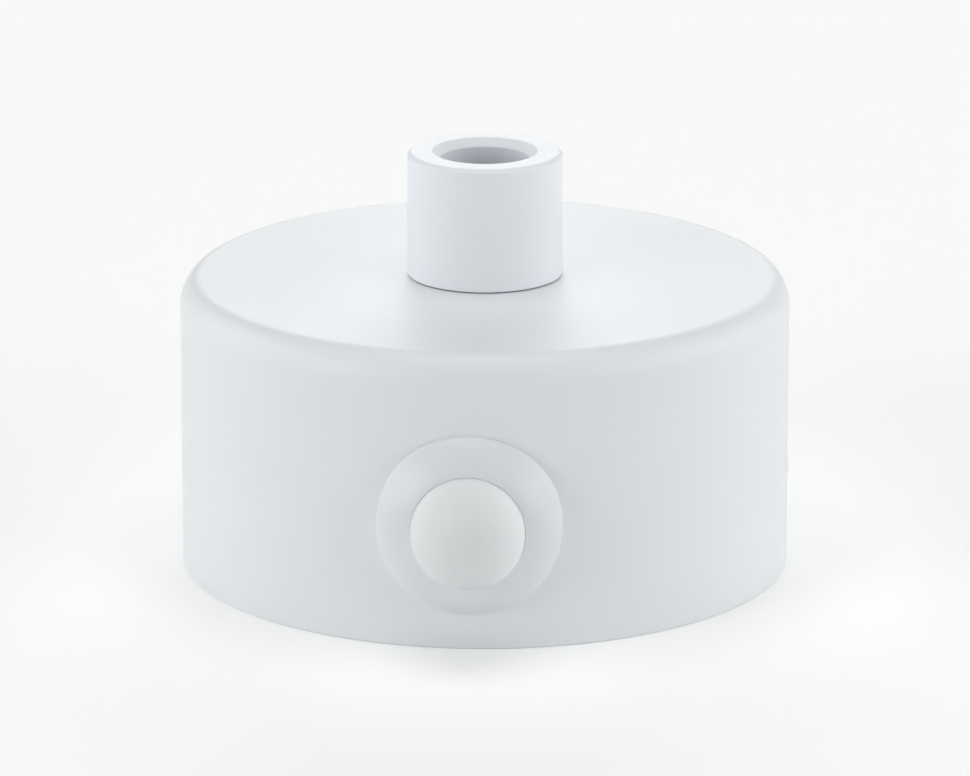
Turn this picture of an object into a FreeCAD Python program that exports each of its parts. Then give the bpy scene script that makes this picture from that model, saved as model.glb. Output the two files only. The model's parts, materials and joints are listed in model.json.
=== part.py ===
import FreeCAD, Part
import math
import os
from types import SimpleNamespace

import Sketcher
from FreeCAD import Placement, Rotation, Vector

# A small ceiling rose: a drawn steel canopy with a turned outlet collar on its end face and a push
# switch in its wall, held to the ceiling by a folded bracket that carries the terminals.
# The origin is the centre of the ceiling plane, +Z points away from the ceiling, and the switch faces -Y.

# Driving sizes in millimetres: name, value, what it measures
SIZES = [
    ("canopy_diameter", 65.0, "outside of the canopy"),
    ("canopy_height", 31.4, "ceiling to end face"),
    ("sheet_thickness", 1.0, "drawn steel of the canopy"),
    ("canopy_edge_radius", 3.5, "outside radius between wall and end face"),
    ("canopy_edge_drop", 0.4, "end face short of the top of that radius, which leaves a soft crease"),
    ("collar_diameter", 16.5, "outside of the outlet collar"),
    ("collar_height", 13.4, "turned length of the collar"),
    ("mouth_diameter", 9.5, "smooth mouth of the collar"),
    ("mouth_depth", 6.2, "length of the smooth mouth"),
    ("mouth_bevel", 0.85, "bevel at the mouth"),
    ("collar_edge_bevel", 0.4, "outer top edge of the collar"),
    ("gasket_thickness", 0.12, "dark gasket under the collar"),
    ("gasket_inset", 0.3, "how far the gasket stays inside the collar"),
    ("nipple_diameter", 9.97, "M10x1 nipple over its thread"),
    ("nipple_bore", 8.0, "cable way through the nipple"),
    ("nipple_tail", 1.5, "nipple below its nut"),
    ("thread_clearance", 0.03, "radial play drawn between threads"),
    ("hole_clearance", 0.15, "radial play of a screw or tube in its hole"),
    ("nut_width", 14.0, "nipple nut across flats"),
    ("nut_thickness", 3.0, "nipple nut"),
    ("washer_diameter", 17.0, "toothed washer"),
    ("washer_thickness", 0.8, "toothed washer"),
    ("tooth_depth", 1.6, "notch between two teeth of the washer"),
    ("tooth_gap", 1.5, "width of that notch"),
    ("bracket_thickness", 1.5, "folded strap"),
    ("bracket_width", 16.0, "strap and ears"),
    ("bend_radius", 1.0, "inside of the folds"),
    ("ear_gap", 3.0, "ear to the inside of the canopy, on the screw's line"),
    ("ear_top", 5.5, "ear above the line of the side screws"),
    ("ear_corner", 4.0, "rounded corners of the ears"),
    ("slot_spacing", 40.0, "ceiling screw slots, centre to centre"),
    ("slot_length", 10.0, "slot over its round ends"),
    ("slot_width", 4.5, "slot for a 4 mm screw"),
    ("cable_hole", 12.0, "supply cable hole in the strap"),
    ("tongue_width", 12.0, "tongue under the terminal block"),
    ("side_screw_height", 11.5, "side screws above the ceiling"),
    ("side_screw_diameter", 4.0, "M4 set screw"),
    ("side_screw_length", 6.0, "M4 set screw"),
    ("side_screw_recess", 0.3, "set screw below the canopy's surface"),
    ("screw_point_bevel", 0.5, "bevel at the ends of the set screw"),
    ("socket_width", 2.0, "hexagon socket across flats"),
    ("socket_depth", 2.0, "hexagon socket"),
    ("drawn_collar_length", 1.2, "drawn collar round the tapped hole, inwards"),
    ("drawn_collar_wall", 0.9, "drawn collar round the tapped hole"),
    ("earth_shank", 3.5, "earth screw shank"),
    ("earth_head_diameter", 6.0, "earth screw head"),
    ("earth_head_height", 2.2, "earth screw head"),
    ("earth_washer_diameter", 7.0, "earth washer"),
    ("earth_washer_thickness", 0.8, "earth washer"),
    ("driver_slot_width", 0.8, "screwdriver slot"),
    ("driver_slot_depth", 0.9, "screwdriver slot"),
    ("screw_head_bevel", 0.3, "top edge of the slotted heads"),
    ("switch_height", 13.5, "switch axis above the ceiling"),
    ("bezel_diameter", 19.2, "bezel flange"),
    ("bezel_crown", 2.9, "bezel front above the canopy wall"),
    ("bezel_rim", 0.5, "straight rim of the bezel above the canopy wall"),
    ("bezel_dome_radius", 8.0, "rounding of the bezel from its rim to the button"),
    ("saddle_clearance", 0.05, "bezel back to canopy wall"),
    ("barrel_diameter", 16.0, "threaded barrel of the switch"),
    ("barrel_wall", 1.15, "wall of the barrel round its hollow"),
    ("barrel_root", 1.4, "barrel rooted inside the bezel"),
    ("button_clearance", 0.03, "radial play of the button in the barrel"),
    ("button_stand", 0.2, "straight side of the button above the bezel"),
    ("dome_height", 5.4, "dome of the button"),
    ("button_travel", 3.0, "button stroke"),
    ("shoulder_depth", 5.0, "stop shoulder in the barrel, behind the canopy wall"),
    ("stop_gap", 0.05, "button collar to the stop shoulder at rest"),
    ("retainer_width", 0.6, "button collar beyond the button"),
    ("retainer_thickness", 2.0, "button collar"),
    ("cavity_clearance", 0.3, "radial room round the button collar"),
    ("stem_diameter", 6.8, "stem behind the button"),
    ("stem_length", 3.0, "stem up to the bridge"),
    ("neck_step", 0.4, "step that seats the bridge"),
    ("neck_length", 2.0, "neck below that step"),
    ("neck_clearance", 0.03, "radial play of the bridge on the neck"),
    ("spring_diameter", 3.8, "return spring, middle of the wire"),
    ("spring_wire", 0.5, "return spring wire"),
    ("spring_play", 0.25, "room round the spring"),
    ("spring_pocket", 6.0, "spring pocket in the stem"),
    ("bridge_thickness", 0.6, "contact bridge"),
    ("bridge_ring_width", 1.4, "contact bridge round the neck"),
    ("bridge_arm_width", 3.0, "contact bridge arms"),
    ("contact_inset", 1.95, "middle of the contacts from the wall of the hollow"),
    ("contact_diameter", 2.0, "contact rivet heads"),
    ("contact_height", 0.4, "contact rivet heads"),
    ("rivet_shank", 1.2, "contact rivet shanks"),
    ("contact_margin", 0.1, "metal beyond a contact"),
    ("contact_clearance", 0.2, "contacts at the end of the stroke"),
    ("blade_thickness", 0.8, "terminal blades"),
    ("blade_width", 3.0, "terminal blades"),
    ("blade_offset", 3.4, "inner face of the blades from the switch axis"),
    ("blade_tail", 7.5, "blades behind the switch base"),
    ("blade_eye", 1.4, "wire eye in the blades"),
    ("blade_corner", 1.0, "rounded corners at the tail of the blades"),
    ("terminal_stand", 1.5, "blade fold above the switch base"),
    ("base_plug", 3.5, "plug of the switch base inside the barrel"),
    ("base_rim", 1.5, "rim of the switch base behind the barrel"),
    ("base_clearance", 0.05, "radial play of the plug"),
    ("post_height", 3.0, "post inside the spring"),
    ("switch_nut_width", 20.0, "switch nut across flats"),
    ("switch_nut_thickness", 3.0, "switch nut"),
    ("pole_pitch", 8.0, "terminal block, pole to pole"),
    ("block_depth", 16.0, "terminal block along its wires"),
    ("block_foot", 2.6, "foot plate of the terminal block"),
    ("block_gap", 0.5, "strap edge to terminal block"),
    ("pole_diameter", 7.2, "round body of a pole"),
    ("turret_diameter", 5.6, "screw turret of a pole"),
    ("turret_top", 11.5, "turret above the bracket"),
    ("turret_spacing", 8.4, "two turrets of a pole"),
    ("peg_diameter", 4.0, "moulded peg in the tongue"),
    ("peg_spacing", 10.0, "two pegs"),
    ("peg_short", 0.2, "peg end above the ceiling"),
    ("sleeve_diameter", 5.0, "brass sleeve"),
    ("sleeve_bore", 3.2, "wire hole in the sleeve"),
    ("sleeve_length", 12.0, "brass sleeve"),
    ("clamp_shank", 2.9, "clamp screw shank"),
    ("clamp_head", 3.8, "clamp screw head"),
    ("clamp_head_height", 2.2, "clamp screw head"),
    ("clamp_reach", 0.9, "clamp screw into the wire hole"),
    ("clamp_rise", 0.6, "clamp screw head above the sleeve"),
]

POLES = 3
WASHER_TEETH = 12
SPRING_TURNS = 8
WHOLE_TURN = 360.0

# Ways a round side of an outline can turn
DOMED = 1
HOLLOW = -1

doc = FreeCAD.newDocument("ceiling_rose")
sheet = doc.addObject("Spreadsheet::Sheet", "Sizes")
for row, (alias, value, meaning) in enumerate(SIZES, start=1):
    sheet.set(f"A{row}", meaning)
    sheet.set(f"B{row}", str(value))
    sheet.setAlias(f"B{row}", alias)
doc.recompute()


class Size:
    """A length that carries its number and the cell formula behind it."""

    def __init__(self, value, formula):
        self.value = value
        self.formula = formula

    def __add__(self, other):
        other = as_size(other)
        return Size(self.value + other.value, f"({self.formula} + {other.formula})")

    def __sub__(self, other):
        other = as_size(other)
        return Size(self.value - other.value, f"({self.formula} - {other.formula})")

    def __mul__(self, other):
        other = as_size(other)
        return Size(self.value * other.value, f"({self.formula} * {other.formula})")

    def __truediv__(self, other):
        other = as_size(other)
        return Size(self.value / other.value, f"({self.formula} / {other.formula})")

    def __neg__(self):
        return Size(-self.value, f"(-1 * {self.formula})")


def as_size(number):
    """A plain number as a size of its own."""
    if isinstance(number, Size):
        return number
    return Size(float(number), repr(float(number)))


def root(size):
    """Square root of a size."""
    return Size(math.sqrt(size.value), f"sqrt({size.formula})")


def chord_depth(radius, half_chord):
    """Distance from a circle's centre to a chord of the given half length."""
    return root(radius * radius - half_chord * half_chord)


size = SimpleNamespace(**{alias: Size(value, f"Sizes.{alias}") for alias, value, meaning in SIZES})


def bind(item, prop, amount):
    """Ties one property of an object to the sheet."""
    item.setExpression(prop, as_size(amount).formula)


def new_body(name, base=(0, 0, 0), rotation=Rotation()):
    """An empty body, turned by a rotation and moved to a base point tied to the sheet."""
    body = doc.addObject("PartDesign::Body", name)
    body.Label = name
    body.Placement = Placement(Vector(0, 0, 0), rotation)
    for axis, amount in zip("xyz", base):
        bind(body, f"Placement.Base.{axis}", amount)
    return body


def origin_of(body, role):
    """One of the body's own origin planes or axes."""
    return next(item for item in body.Origin.OriginFeatures if item.Role == role)


def sketch_on(body, plane, lift=0):
    """An empty sketch on one of the body's origin planes, lifted along that plane's normal."""
    sketch = body.newObject("Sketcher::SketchObject", f"{body.Name}_sketch")
    sketch.AttachmentSupport = [(origin_of(body, plane), "")]
    sketch.MapMode = "FlatFace"
    bind(sketch, "AttachmentOffset.Base.z", lift)
    return sketch


def dimension(sketch, kind, references, amount):
    """A dimension of a sketch, tied to the sheet."""
    amount = as_size(amount)
    index = sketch.addConstraint(Sketcher.Constraint(kind, *references, amount.value))
    sketch.setExpression(f"Constraints[{index}]", amount.formula)


def hold_point(sketch, item, end, place):
    """Holds a point of a sketch at a place, on an axis where a coordinate is a plain zero."""
    horizontal_axis, vertical_axis, start = -1, -2, 1
    for kind, axis, amount in zip(("DistanceX", "DistanceY"), (vertical_axis, horizontal_axis), place):
        if isinstance(amount, Size):
            dimension(sketch, kind, (horizontal_axis, start, item, end), amount)
        else:
            sketch.addConstraint(Sketcher.Constraint("PointOnObject", item, end, axis))


def at(place):
    """The place of a sketch point as a vector."""
    return Vector(as_size(place[0]).value, as_size(place[1]).value, 0)


def circle(sketch, diameter, centre=(0, 0)):
    """A circle held by its centre and diameter."""
    item = sketch.addGeometry(Part.Circle(at(centre), Vector(0, 0, 1), diameter.value / 2))
    hold_point(sketch, item, 3, centre)
    dimension(sketch, "Diameter", (item,), diameter)


def arc_between(start, end, radius, turn):
    """The short arc of a radius from one point to another, on the side its turn asks for."""
    chord = end - start
    left = Vector(-chord.y, chord.x, 0).normalize()
    depth = math.sqrt(radius ** 2 - chord.Length ** 2 / 4)
    centre = (start + end) * 0.5 + left * (depth * turn)
    ends = [start - centre, end - centre][::turn]
    first, last = [math.atan2(spoke.y, spoke.x) for spoke in ends]
    return Part.ArcOfCircle(Part.Circle(centre, Vector(0, 0, 1), radius), first, last)


def outline(sketch, corners, bows=None):
    """A closed outline through corners, anticlockwise; bows holds radius and turn of its round sides."""
    bows = bows or {}
    points = [at(corner) for corner in corners]
    sides = []
    for side, (start, end) in enumerate(zip(points, points[1:] + points[:1])):
        if side in bows:
            radius, turn = bows[side]
            item = sketch.addGeometry(arc_between(start, end, radius.value, turn))
            sides.append((item, [1, 2][::turn]))
        else:
            sides.append((sketch.addGeometry(Part.LineSegment(start, end)), [1, 2]))
    for (item, ends), (following, following_ends), corner in zip(sides, sides[1:] + sides[:1], corners):
        joint = (item, ends[1], following, following_ends[0])
        sketch.addConstraint(Sketcher.Constraint("Coincident", *joint))
        hold_point(sketch, item, ends[0], corner)
    for side, (radius, turn) in bows.items():
        dimension(sketch, "Radius", (sides[side][0],), radius)


def rectangle(sketch, low, high):
    """A rectangle between two opposite corners."""
    outline(sketch, [low, (high[0], low[1]), high, (low[0], high[1])])


def slot(sketch, centre_x, length, width):
    """A round-ended slot along X with its centre on the X axis."""
    half = (length - width) / 2
    normal = Vector(0, 0, 1)
    ends = []
    for sign, first in ((1, -math.pi / 2), (-1, math.pi / 2)):
        centre = (centre_x + half * sign, 0)
        arc = Part.ArcOfCircle(Part.Circle(at(centre), normal, width.value / 2), first, first + math.pi)
        item = sketch.addGeometry(arc)
        hold_point(sketch, item, 3, centre)
        ends.append((item, arc))
    (right, right_arc), (left, left_arc) = ends
    top = sketch.addGeometry(Part.LineSegment(right_arc.EndPoint, left_arc.StartPoint))
    bottom = sketch.addGeometry(Part.LineSegment(left_arc.EndPoint, right_arc.StartPoint))
    for first, first_end, second, second_end in (
        (right, 2, top, 1),
        (top, 2, left, 1),
        (left, 2, bottom, 1),
        (bottom, 2, right, 1),
    ):
        sketch.addConstraint(Sketcher.Constraint("Tangent", first, first_end, second, second_end))
    sketch.addConstraint(Sketcher.Constraint("Equal", right, left))
    dimension(sketch, "Radius", (right,), width / 2)


def hexagon(sketch, across_flats):
    """A regular hexagon about the sketch's origin, with two flats square to its X axis."""
    half_flat = across_flats / 2
    half_side = across_flats / (2 * math.sqrt(3))
    tip = half_side * 2
    outline(sketch, [
        (half_flat, -half_side),
        (half_flat, half_side),
        (0, tip),
        (-half_flat, half_side),
        (-half_flat, -half_side),
        (0, -tip),
    ])


def revolve(body, sketch, kind="Revolution"):
    """A full turn of a sketch about its own vertical axis."""
    feature = body.newObject(f"PartDesign::{kind}", f"{body.Name}_{kind.lower()}")
    feature.Profile = sketch
    feature.ReferenceAxis = (sketch, ["V_Axis"])
    feature.Angle = WHOLE_TURN
    return feature


def extrude(body, sketch, length, kind="Pad", back=False, both=False):
    """A sketch drawn out by a length: a Pad along its normal or a Pocket against it, or turned back."""
    feature = body.newObject(f"PartDesign::{kind}", f"{body.Name}_{kind.lower()}")
    feature.Profile = sketch
    feature.Reversed = back
    if both:
        feature.SideType = "Symmetric"
    bind(feature, "Length", length)
    return feature


def cut(body, sketch, length, back=False, both=False):
    """A pocket that has to take material away."""
    doc.recompute()
    before = body.Shape.Volume
    feature = extrude(body, sketch, length, "Pocket", back, both)
    doc.recompute()
    if body.Shape.Volume >= before:
        raise RuntimeError(f"a pocket of {body.Label} cuts nothing")
    return feature


def in_row(body, features, pitch, count):
    """A row of copies along X, starting at the feature itself."""
    doc.recompute()
    pattern = body.newObject("PartDesign::LinearPattern", f"{body.Name}_row")
    pattern.Originals = features
    pattern.Direction = (origin_of(body, "X_Axis"), [""])
    bind(pattern, "Length", pitch * (count - 1))
    pattern.Occurrences = count
    body.Tip = pattern
    return pattern


def in_circle(body, features, count):
    """Copies spaced evenly about Z."""
    doc.recompute()
    pattern = body.newObject("PartDesign::PolarPattern", f"{body.Name}_circle")
    pattern.Originals = features
    pattern.Axis = (origin_of(body, "Z_Axis"), [""])
    pattern.Angle = WHOLE_TURN
    pattern.Occurrences = count
    body.Tip = pattern
    return pattern


def edges_where(feature, wanted):
    """Names of the feature's edges that pass a test."""
    doc.recompute()
    names = [f"Edge{i}" for i, edge in enumerate(feature.Shape.Edges, start=1) if wanted(edge)]
    if not names:
        raise RuntimeError(f"no edge found on {feature.Label}")
    return names


def near(first, second):
    """Whether two coordinates are the same place."""
    return abs(first - second) < 1e-4


def round_edges(feature, radius, height):
    """The feature's full round edges of a radius at a height along Z."""
    radius, height = as_size(radius).value, as_size(height).value

    def wanted(edge):
        is_circle = isinstance(edge.Curve, Part.Circle)
        return is_circle and near(edge.Curve.Radius, radius) and near(edge.Curve.Center.z, height)

    return edges_where(feature, wanted)


def level_edges(feature, across, offset, height):
    """The feature's straight edges at a height, at an offset either side of the middle across X or Y."""
    offset, height = as_size(offset).value, as_size(height).value

    def wanted(edge):
        ends = [vertex.Point for vertex in edge.Vertexes]
        sides = {round(getattr(end, across), 4) for end in ends}
        level = all(near(end.z, height) for end in ends)
        return len(ends) == 2 and level and len(sides) == 1 and near(abs(sides.pop()), offset)

    return edges_where(feature, wanted)


def fillet(body, feature, edges, radius):
    """Rounded edges."""
    rounding = body.newObject("PartDesign::Fillet", f"{body.Name}_fillet")
    rounding.Base = (feature, edges)
    bind(rounding, "Radius", radius)
    return rounding


def chamfer(body, feature, edges, width):
    """Bevelled edges, alike on both faces."""
    bevel = body.newObject("PartDesign::Chamfer", f"{body.Name}_bevel")
    bevel.Base = (feature, edges)
    bind(bevel, "Size", width)
    return bevel


def group_of(name, bodies):
    """Like pieces kept as separate solids under one name."""
    group = doc.addObject("Part::Compound", name)
    group.Label = name
    group.Links = bodies
    return group


# Places shared by several pieces

canopy_radius = size.canopy_diameter / 2
canopy_inside = canopy_radius - size.sheet_thickness
end_face = size.canopy_height
end_inside = end_face - size.sheet_thickness
thread_hole = size.nipple_diameter + size.thread_clearance * 2

collar_foot = end_face + size.gasket_thickness
collar_top = collar_foot + size.collar_height
mouth_floor = collar_top - size.mouth_depth

washer_foot = end_inside - size.washer_thickness
nut_foot = washer_foot - size.nut_thickness
nipple_foot = nut_foot - size.nipple_tail

ear_face = canopy_inside - size.ear_gap
ear_height = size.side_screw_height + size.ear_top
ear_screw_hole = size.side_screw_diameter + size.hole_clearance * 2
side_screw_thread = size.side_screw_diameter + size.thread_clearance * 2
earth_offset = (size.cable_hole + size.slot_spacing - size.slot_length) / 4
block_middle = size.bracket_width / 2 + size.block_gap + size.block_depth / 2

# The switch is drawn about its own axis: its Z points out of the canopy, from the canopy's outer wall
SWITCH_TURN = Rotation(Vector(1, 0, 0), 90)
HALF_TURN = Rotation(Vector(0, 0, 1), 180)
switch_base_point = (0, -canopy_radius, size.switch_height)

cavity_radius = size.barrel_diameter / 2 - size.barrel_wall
retainer_radius = cavity_radius - size.cavity_clearance
button_radius = retainer_radius - size.retainer_width
equator = size.bezel_crown + size.button_stand
apex = equator + size.dome_height
shoulder = -size.shoulder_depth
retainer_front = shoulder - size.stop_gap
retainer_back = retainer_front - size.retainer_thickness
bridge_seat = retainer_back - size.stem_length
stem_end = bridge_seat - size.neck_length
neck_diameter = size.stem_diameter - size.neck_step * 2
spring_seat = stem_end + size.spring_pocket
bridge_back = bridge_seat - size.bridge_thickness
fixed_face = bridge_back - size.contact_height - size.button_travel - size.contact_clearance
blade_top = fixed_face - size.contact_height
contact_offset = cavity_radius - size.contact_inset
blade_reach = contact_offset + size.contact_diameter / 2 + size.contact_margin
base_front = blade_top - size.blade_thickness - size.terminal_stand
barrel_end = base_front - size.base_plug
base_back = barrel_end - size.base_rim
blade_end = base_back - size.blade_tail


def switch_body(name, turn=Rotation()):
    """A body on the switch axis, turned about that axis first."""
    return new_body(name, switch_base_point, SWITCH_TURN.multiply(turn))


def canopy():
    """Drawn cup with a rounded edge, a nipple hole, a switch hole and two tapped side holes."""
    body = new_body("canopy")
    profile = sketch_on(body, "XZ_Plane")
    hole_radius = size.nipple_diameter / 2 + size.hole_clearance
    outer_radius = size.canopy_edge_radius
    inner_radius = outer_radius - size.sheet_thickness
    edge_rise = outer_radius - size.canopy_edge_drop
    edge_foot = end_face - edge_rise
    edge_centre = canopy_radius - outer_radius
    outline(profile, [
        (canopy_inside, 0),
        (canopy_radius, 0),
        (canopy_radius, edge_foot),
        (edge_centre + chord_depth(outer_radius, edge_rise), end_face),
        (hole_radius, end_face),
        (hole_radius, end_inside),
        (edge_centre + chord_depth(inner_radius, edge_rise - size.sheet_thickness), end_inside),
        (canopy_inside, edge_foot),
    ], {2: (outer_radius, DOMED), 6: (inner_radius, HOLLOW)})
    revolve(body, profile)

    drawn = sketch_on(body, "YZ_Plane", canopy_inside - size.drawn_collar_length)
    circle(drawn, side_screw_thread + size.drawn_collar_wall * 2, (0, size.side_screw_height))
    in_circle(body, [extrude(body, drawn, size.drawn_collar_length + size.sheet_thickness / 2)], 2)

    tapped = sketch_on(body, "YZ_Plane")
    circle(tapped, side_screw_thread, (0, size.side_screw_height))
    cut(body, tapped, size.canopy_diameter * 2, both=True)

    panel = sketch_on(body, "XZ_Plane")
    circle(panel, size.barrel_diameter + size.hole_clearance * 2, (0, size.switch_height))
    cut(body, panel, size.canopy_diameter, back=True)
    return body


def outlet_collar():
    """Turned collar: threaded below for the nipple, smooth and bevelled at its mouth."""
    body = new_body("outlet_collar")
    profile = sketch_on(body, "XZ_Plane")
    mouth_radius = size.mouth_diameter / 2
    outside = size.collar_diameter / 2
    outline(profile, [
        (thread_hole / 2, collar_foot),
        (outside, collar_foot),
        (outside, collar_top - size.collar_edge_bevel),
        (outside - size.collar_edge_bevel, collar_top),
        (mouth_radius + size.mouth_bevel, collar_top),
        (mouth_radius, collar_top - size.mouth_bevel),
        (mouth_radius, mouth_floor),
        (thread_hole / 2, mouth_floor),
    ])
    revolve(body, profile)
    return body


def ring(name, inner, outer, foot, height):
    """Flat ring about Z between two diameters."""
    body = new_body(name)
    flat = sketch_on(body, "XY_Plane", foot)
    circle(flat, outer)
    circle(flat, inner)
    extrude(body, flat, height)
    return body


def collar_gasket():
    """Thin ring that shows as the dark line under the collar."""
    inner = size.nipple_diameter + size.hole_clearance * 2
    outer = size.collar_diameter - size.gasket_inset * 2
    return ring("collar_gasket", inner, outer, end_face, size.gasket_thickness)


def threaded_nipple():
    """Hollow threaded tube from under the nut up to the mouth of the collar."""
    length = mouth_floor - nipple_foot
    return ring("threaded_nipple", size.nipple_bore, size.nipple_diameter, nipple_foot, length)


def lock_washer():
    """Washer with teeth cut round its hole."""
    inner = size.nipple_diameter + size.hole_clearance * 2
    body = ring("lock_washer", inner, size.washer_diameter, washer_foot, size.washer_thickness)
    notch = sketch_on(body, "XY_Plane", washer_foot)
    start = size.nipple_diameter / 4
    rectangle(notch, (start, -size.tooth_gap / 2), (inner / 2 + size.tooth_depth, size.tooth_gap / 2))
    in_circle(body, [cut(body, notch, size.washer_thickness, back=True)], WASHER_TEETH)
    return body


def hexagon_nut(body, across_flats, hole, foot, height):
    """Hexagon nut about Z with its corners turned off on both faces."""
    flats = sketch_on(body, "XY_Plane", foot)
    hexagon(flats, across_flats)
    circle(flats, hole)
    extrude(body, flats, height)
    turned = sketch_on(body, "XZ_Plane")
    corner = across_flats / math.sqrt(3)
    rise = (corner - across_flats / 2) * math.tan(math.radians(30))
    past = corner * 2 - across_flats / 2
    for face, slope in ((foot, rise), (foot + height, -rise)):
        outline(turned, [(across_flats / 2, face), (past, face), (past, face + slope * 2)])
    revolve(body, turned, "Groove")
    return body


def nipple_nut():
    """Nut that clamps the collar and canopy together."""
    return hexagon_nut(new_body("nipple_nut"), size.nut_width, thread_hole, nut_foot, size.nut_thickness)


def mounting_bracket():
    """Folded strap with two ears, a tongue for the terminal block, slots and holes."""
    body = new_body("mounting_bracket")
    half_width = size.bracket_width / 2
    half_tongue = size.tongue_width / 2
    tongue_end = block_middle + size.block_depth / 2
    flat = sketch_on(body, "XY_Plane")
    outline(flat, [
        (-ear_face, -half_width),
        (ear_face, -half_width),
        (ear_face, half_width),
        (half_tongue, half_width),
        (half_tongue, tongue_end),
        (-half_tongue, tongue_end),
        (-half_tongue, half_width),
        (-ear_face, half_width),
    ])
    extrude(body, flat, size.bracket_thickness)

    ear = sketch_on(body, "YZ_Plane", ear_face - size.bracket_thickness)
    rectangle(ear, (-half_width, 0), (half_width, ear_height))
    folded = in_circle(body, [extrude(body, ear, size.bracket_thickness)], 2)
    folded = fillet(body, folded, level_edges(folded, "y", half_width, ear_height), size.ear_corner)
    inner_folds = level_edges(folded, "x", ear_face - size.bracket_thickness, size.bracket_thickness)
    folded = fillet(body, folded, inner_folds, size.bend_radius)
    outer_radius = size.bend_radius + size.bracket_thickness
    fillet(body, folded, level_edges(folded, "x", ear_face, 0), outer_radius)

    holes = sketch_on(body, "XY_Plane")
    circle(holes, size.cable_hole)
    for sign in (1, -1):
        slot(holes, size.slot_spacing / 2 * sign, size.slot_length, size.slot_width)
        peg_place = (0, block_middle + size.peg_spacing / 2 * sign)
        circle(holes, size.peg_diameter + size.hole_clearance * 2, peg_place)
    circle(holes, size.earth_shank + size.thread_clearance * 2, (-earth_offset, 0))
    cut(body, holes, size.bracket_thickness, back=True)

    screw_holes = sketch_on(body, "YZ_Plane")
    circle(screw_holes, ear_screw_hole, (0, size.side_screw_height))
    cut(body, screw_holes, size.canopy_diameter, both=True)
    return body


def side_screws():
    """Two socket set screws, through the canopy's tapped holes and the ears."""
    screws = []
    for sign in (1, -1):
        base = ((canopy_radius - size.side_screw_recess) * sign, 0, size.side_screw_height)
        body = new_body(f"side_screw_{len(screws) + 1}", base, Rotation(Vector(0, 1, 0), 90 * sign))
        end = sketch_on(body, "XY_Plane")
        circle(end, size.side_screw_diameter)
        shank = extrude(body, end, size.side_screw_length, back=True)
        ends = round_edges(shank, size.side_screw_diameter / 2, 0)
        ends += round_edges(shank, size.side_screw_diameter / 2, -size.side_screw_length)
        chamfer(body, shank, ends, size.screw_point_bevel)
        socket = sketch_on(body, "XY_Plane")
        hexagon(socket, size.socket_width)
        cut(body, socket, size.socket_depth)
        screws.append(body)
    return group_of("side_screws", screws)


def slotted_screw(body, shank, head, head_height, length):
    """Slotted screw about Z, with the underside of its head at the origin."""
    profile = sketch_on(body, "XZ_Plane")
    outline(profile, [
        (0, -length),
        (shank / 2, -length),
        (shank / 2, 0),
        (head / 2, 0),
        (head / 2, head_height - size.screw_head_bevel),
        (head / 2 - size.screw_head_bevel, head_height),
        (0, head_height),
    ])
    revolve(body, profile)
    groove = sketch_on(body, "XY_Plane", head_height)
    half_slot = size.driver_slot_width / 2
    rectangle(groove, (-head, -half_slot), (head, half_slot))
    cut(body, groove, size.driver_slot_depth)
    return body


def earth_screw():
    """Earth terminal screw in the strap, its tip just short of the ceiling."""
    under_head = size.bracket_thickness + size.earth_washer_thickness
    body = new_body("earth_screw", (-earth_offset, 0, under_head))
    length = under_head - size.peg_short
    return slotted_screw(body, size.earth_shank, size.earth_head_diameter, size.earth_head_height, length)


def earth_washer():
    """Washer under the earth screw's head."""
    body = new_body("earth_washer", (-earth_offset, 0, size.bracket_thickness))
    flat = sketch_on(body, "XY_Plane")
    circle(flat, size.earth_washer_diameter)
    circle(flat, size.earth_shank + size.hole_clearance * 2)
    extrude(body, flat, size.earth_washer_thickness)
    return body


def switch_housing():
    """Bezel with a saddle back that follows the canopy, and the hollow barrel behind it."""
    body = switch_body("switch_housing")
    bezel_radius = size.bezel_diameter / 2
    bore_radius = button_radius + size.button_clearance
    saddle_depth = canopy_radius - chord_depth(canopy_radius, bezel_radius)
    flange = sketch_on(body, "XZ_Plane")
    outline(flange, [
        (0, -saddle_depth),
        (bezel_radius, -saddle_depth),
        (bezel_radius, size.bezel_rim),
        (bore_radius, size.bezel_crown),
        (0, size.bezel_crown),
    ], {2: (size.bezel_dome_radius, DOMED)})
    revolve(body, flange)

    saddle = sketch_on(body, "XZ_Plane")
    circle(saddle, (canopy_radius + size.saddle_clearance) * 2, (0, -canopy_radius))
    cut(body, saddle, size.bezel_diameter * 2, both=True)

    barrel = sketch_on(body, "XY_Plane", size.barrel_root)
    circle(barrel, size.barrel_diameter)
    extrude(body, barrel, size.barrel_root - barrel_end, back=True)

    bore = sketch_on(body, "XY_Plane", size.bezel_crown)
    circle(bore, bore_radius * 2)
    cut(body, bore, size.bezel_crown - shoulder)

    cavity = sketch_on(body, "XY_Plane", barrel_end)
    circle(cavity, cavity_radius * 2)
    cut(body, cavity, shoulder - barrel_end, back=True)
    return body


def push_button():
    """Domed button with its stop collar, stem and spring pocket, one moulding."""
    body = switch_body("push_button")
    pocket_radius = (size.spring_diameter + size.spring_wire) / 2 + size.spring_play
    stem_radius = size.stem_diameter / 2
    dome_radius = (button_radius * button_radius / size.dome_height + size.dome_height) / 2
    profile = sketch_on(body, "XZ_Plane")
    outline(profile, [
        (button_radius, equator),
        (0, apex),
        (0, spring_seat),
        (pocket_radius, spring_seat),
        (pocket_radius, stem_end),
        (neck_diameter / 2, stem_end),
        (neck_diameter / 2, bridge_seat),
        (stem_radius, bridge_seat),
        (stem_radius, retainer_back),
        (retainer_radius, retainer_back),
        (retainer_radius, retainer_front),
        (button_radius, retainer_front),
    ], {0: (dome_radius, DOMED)})
    revolve(body, profile)
    return body


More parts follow.
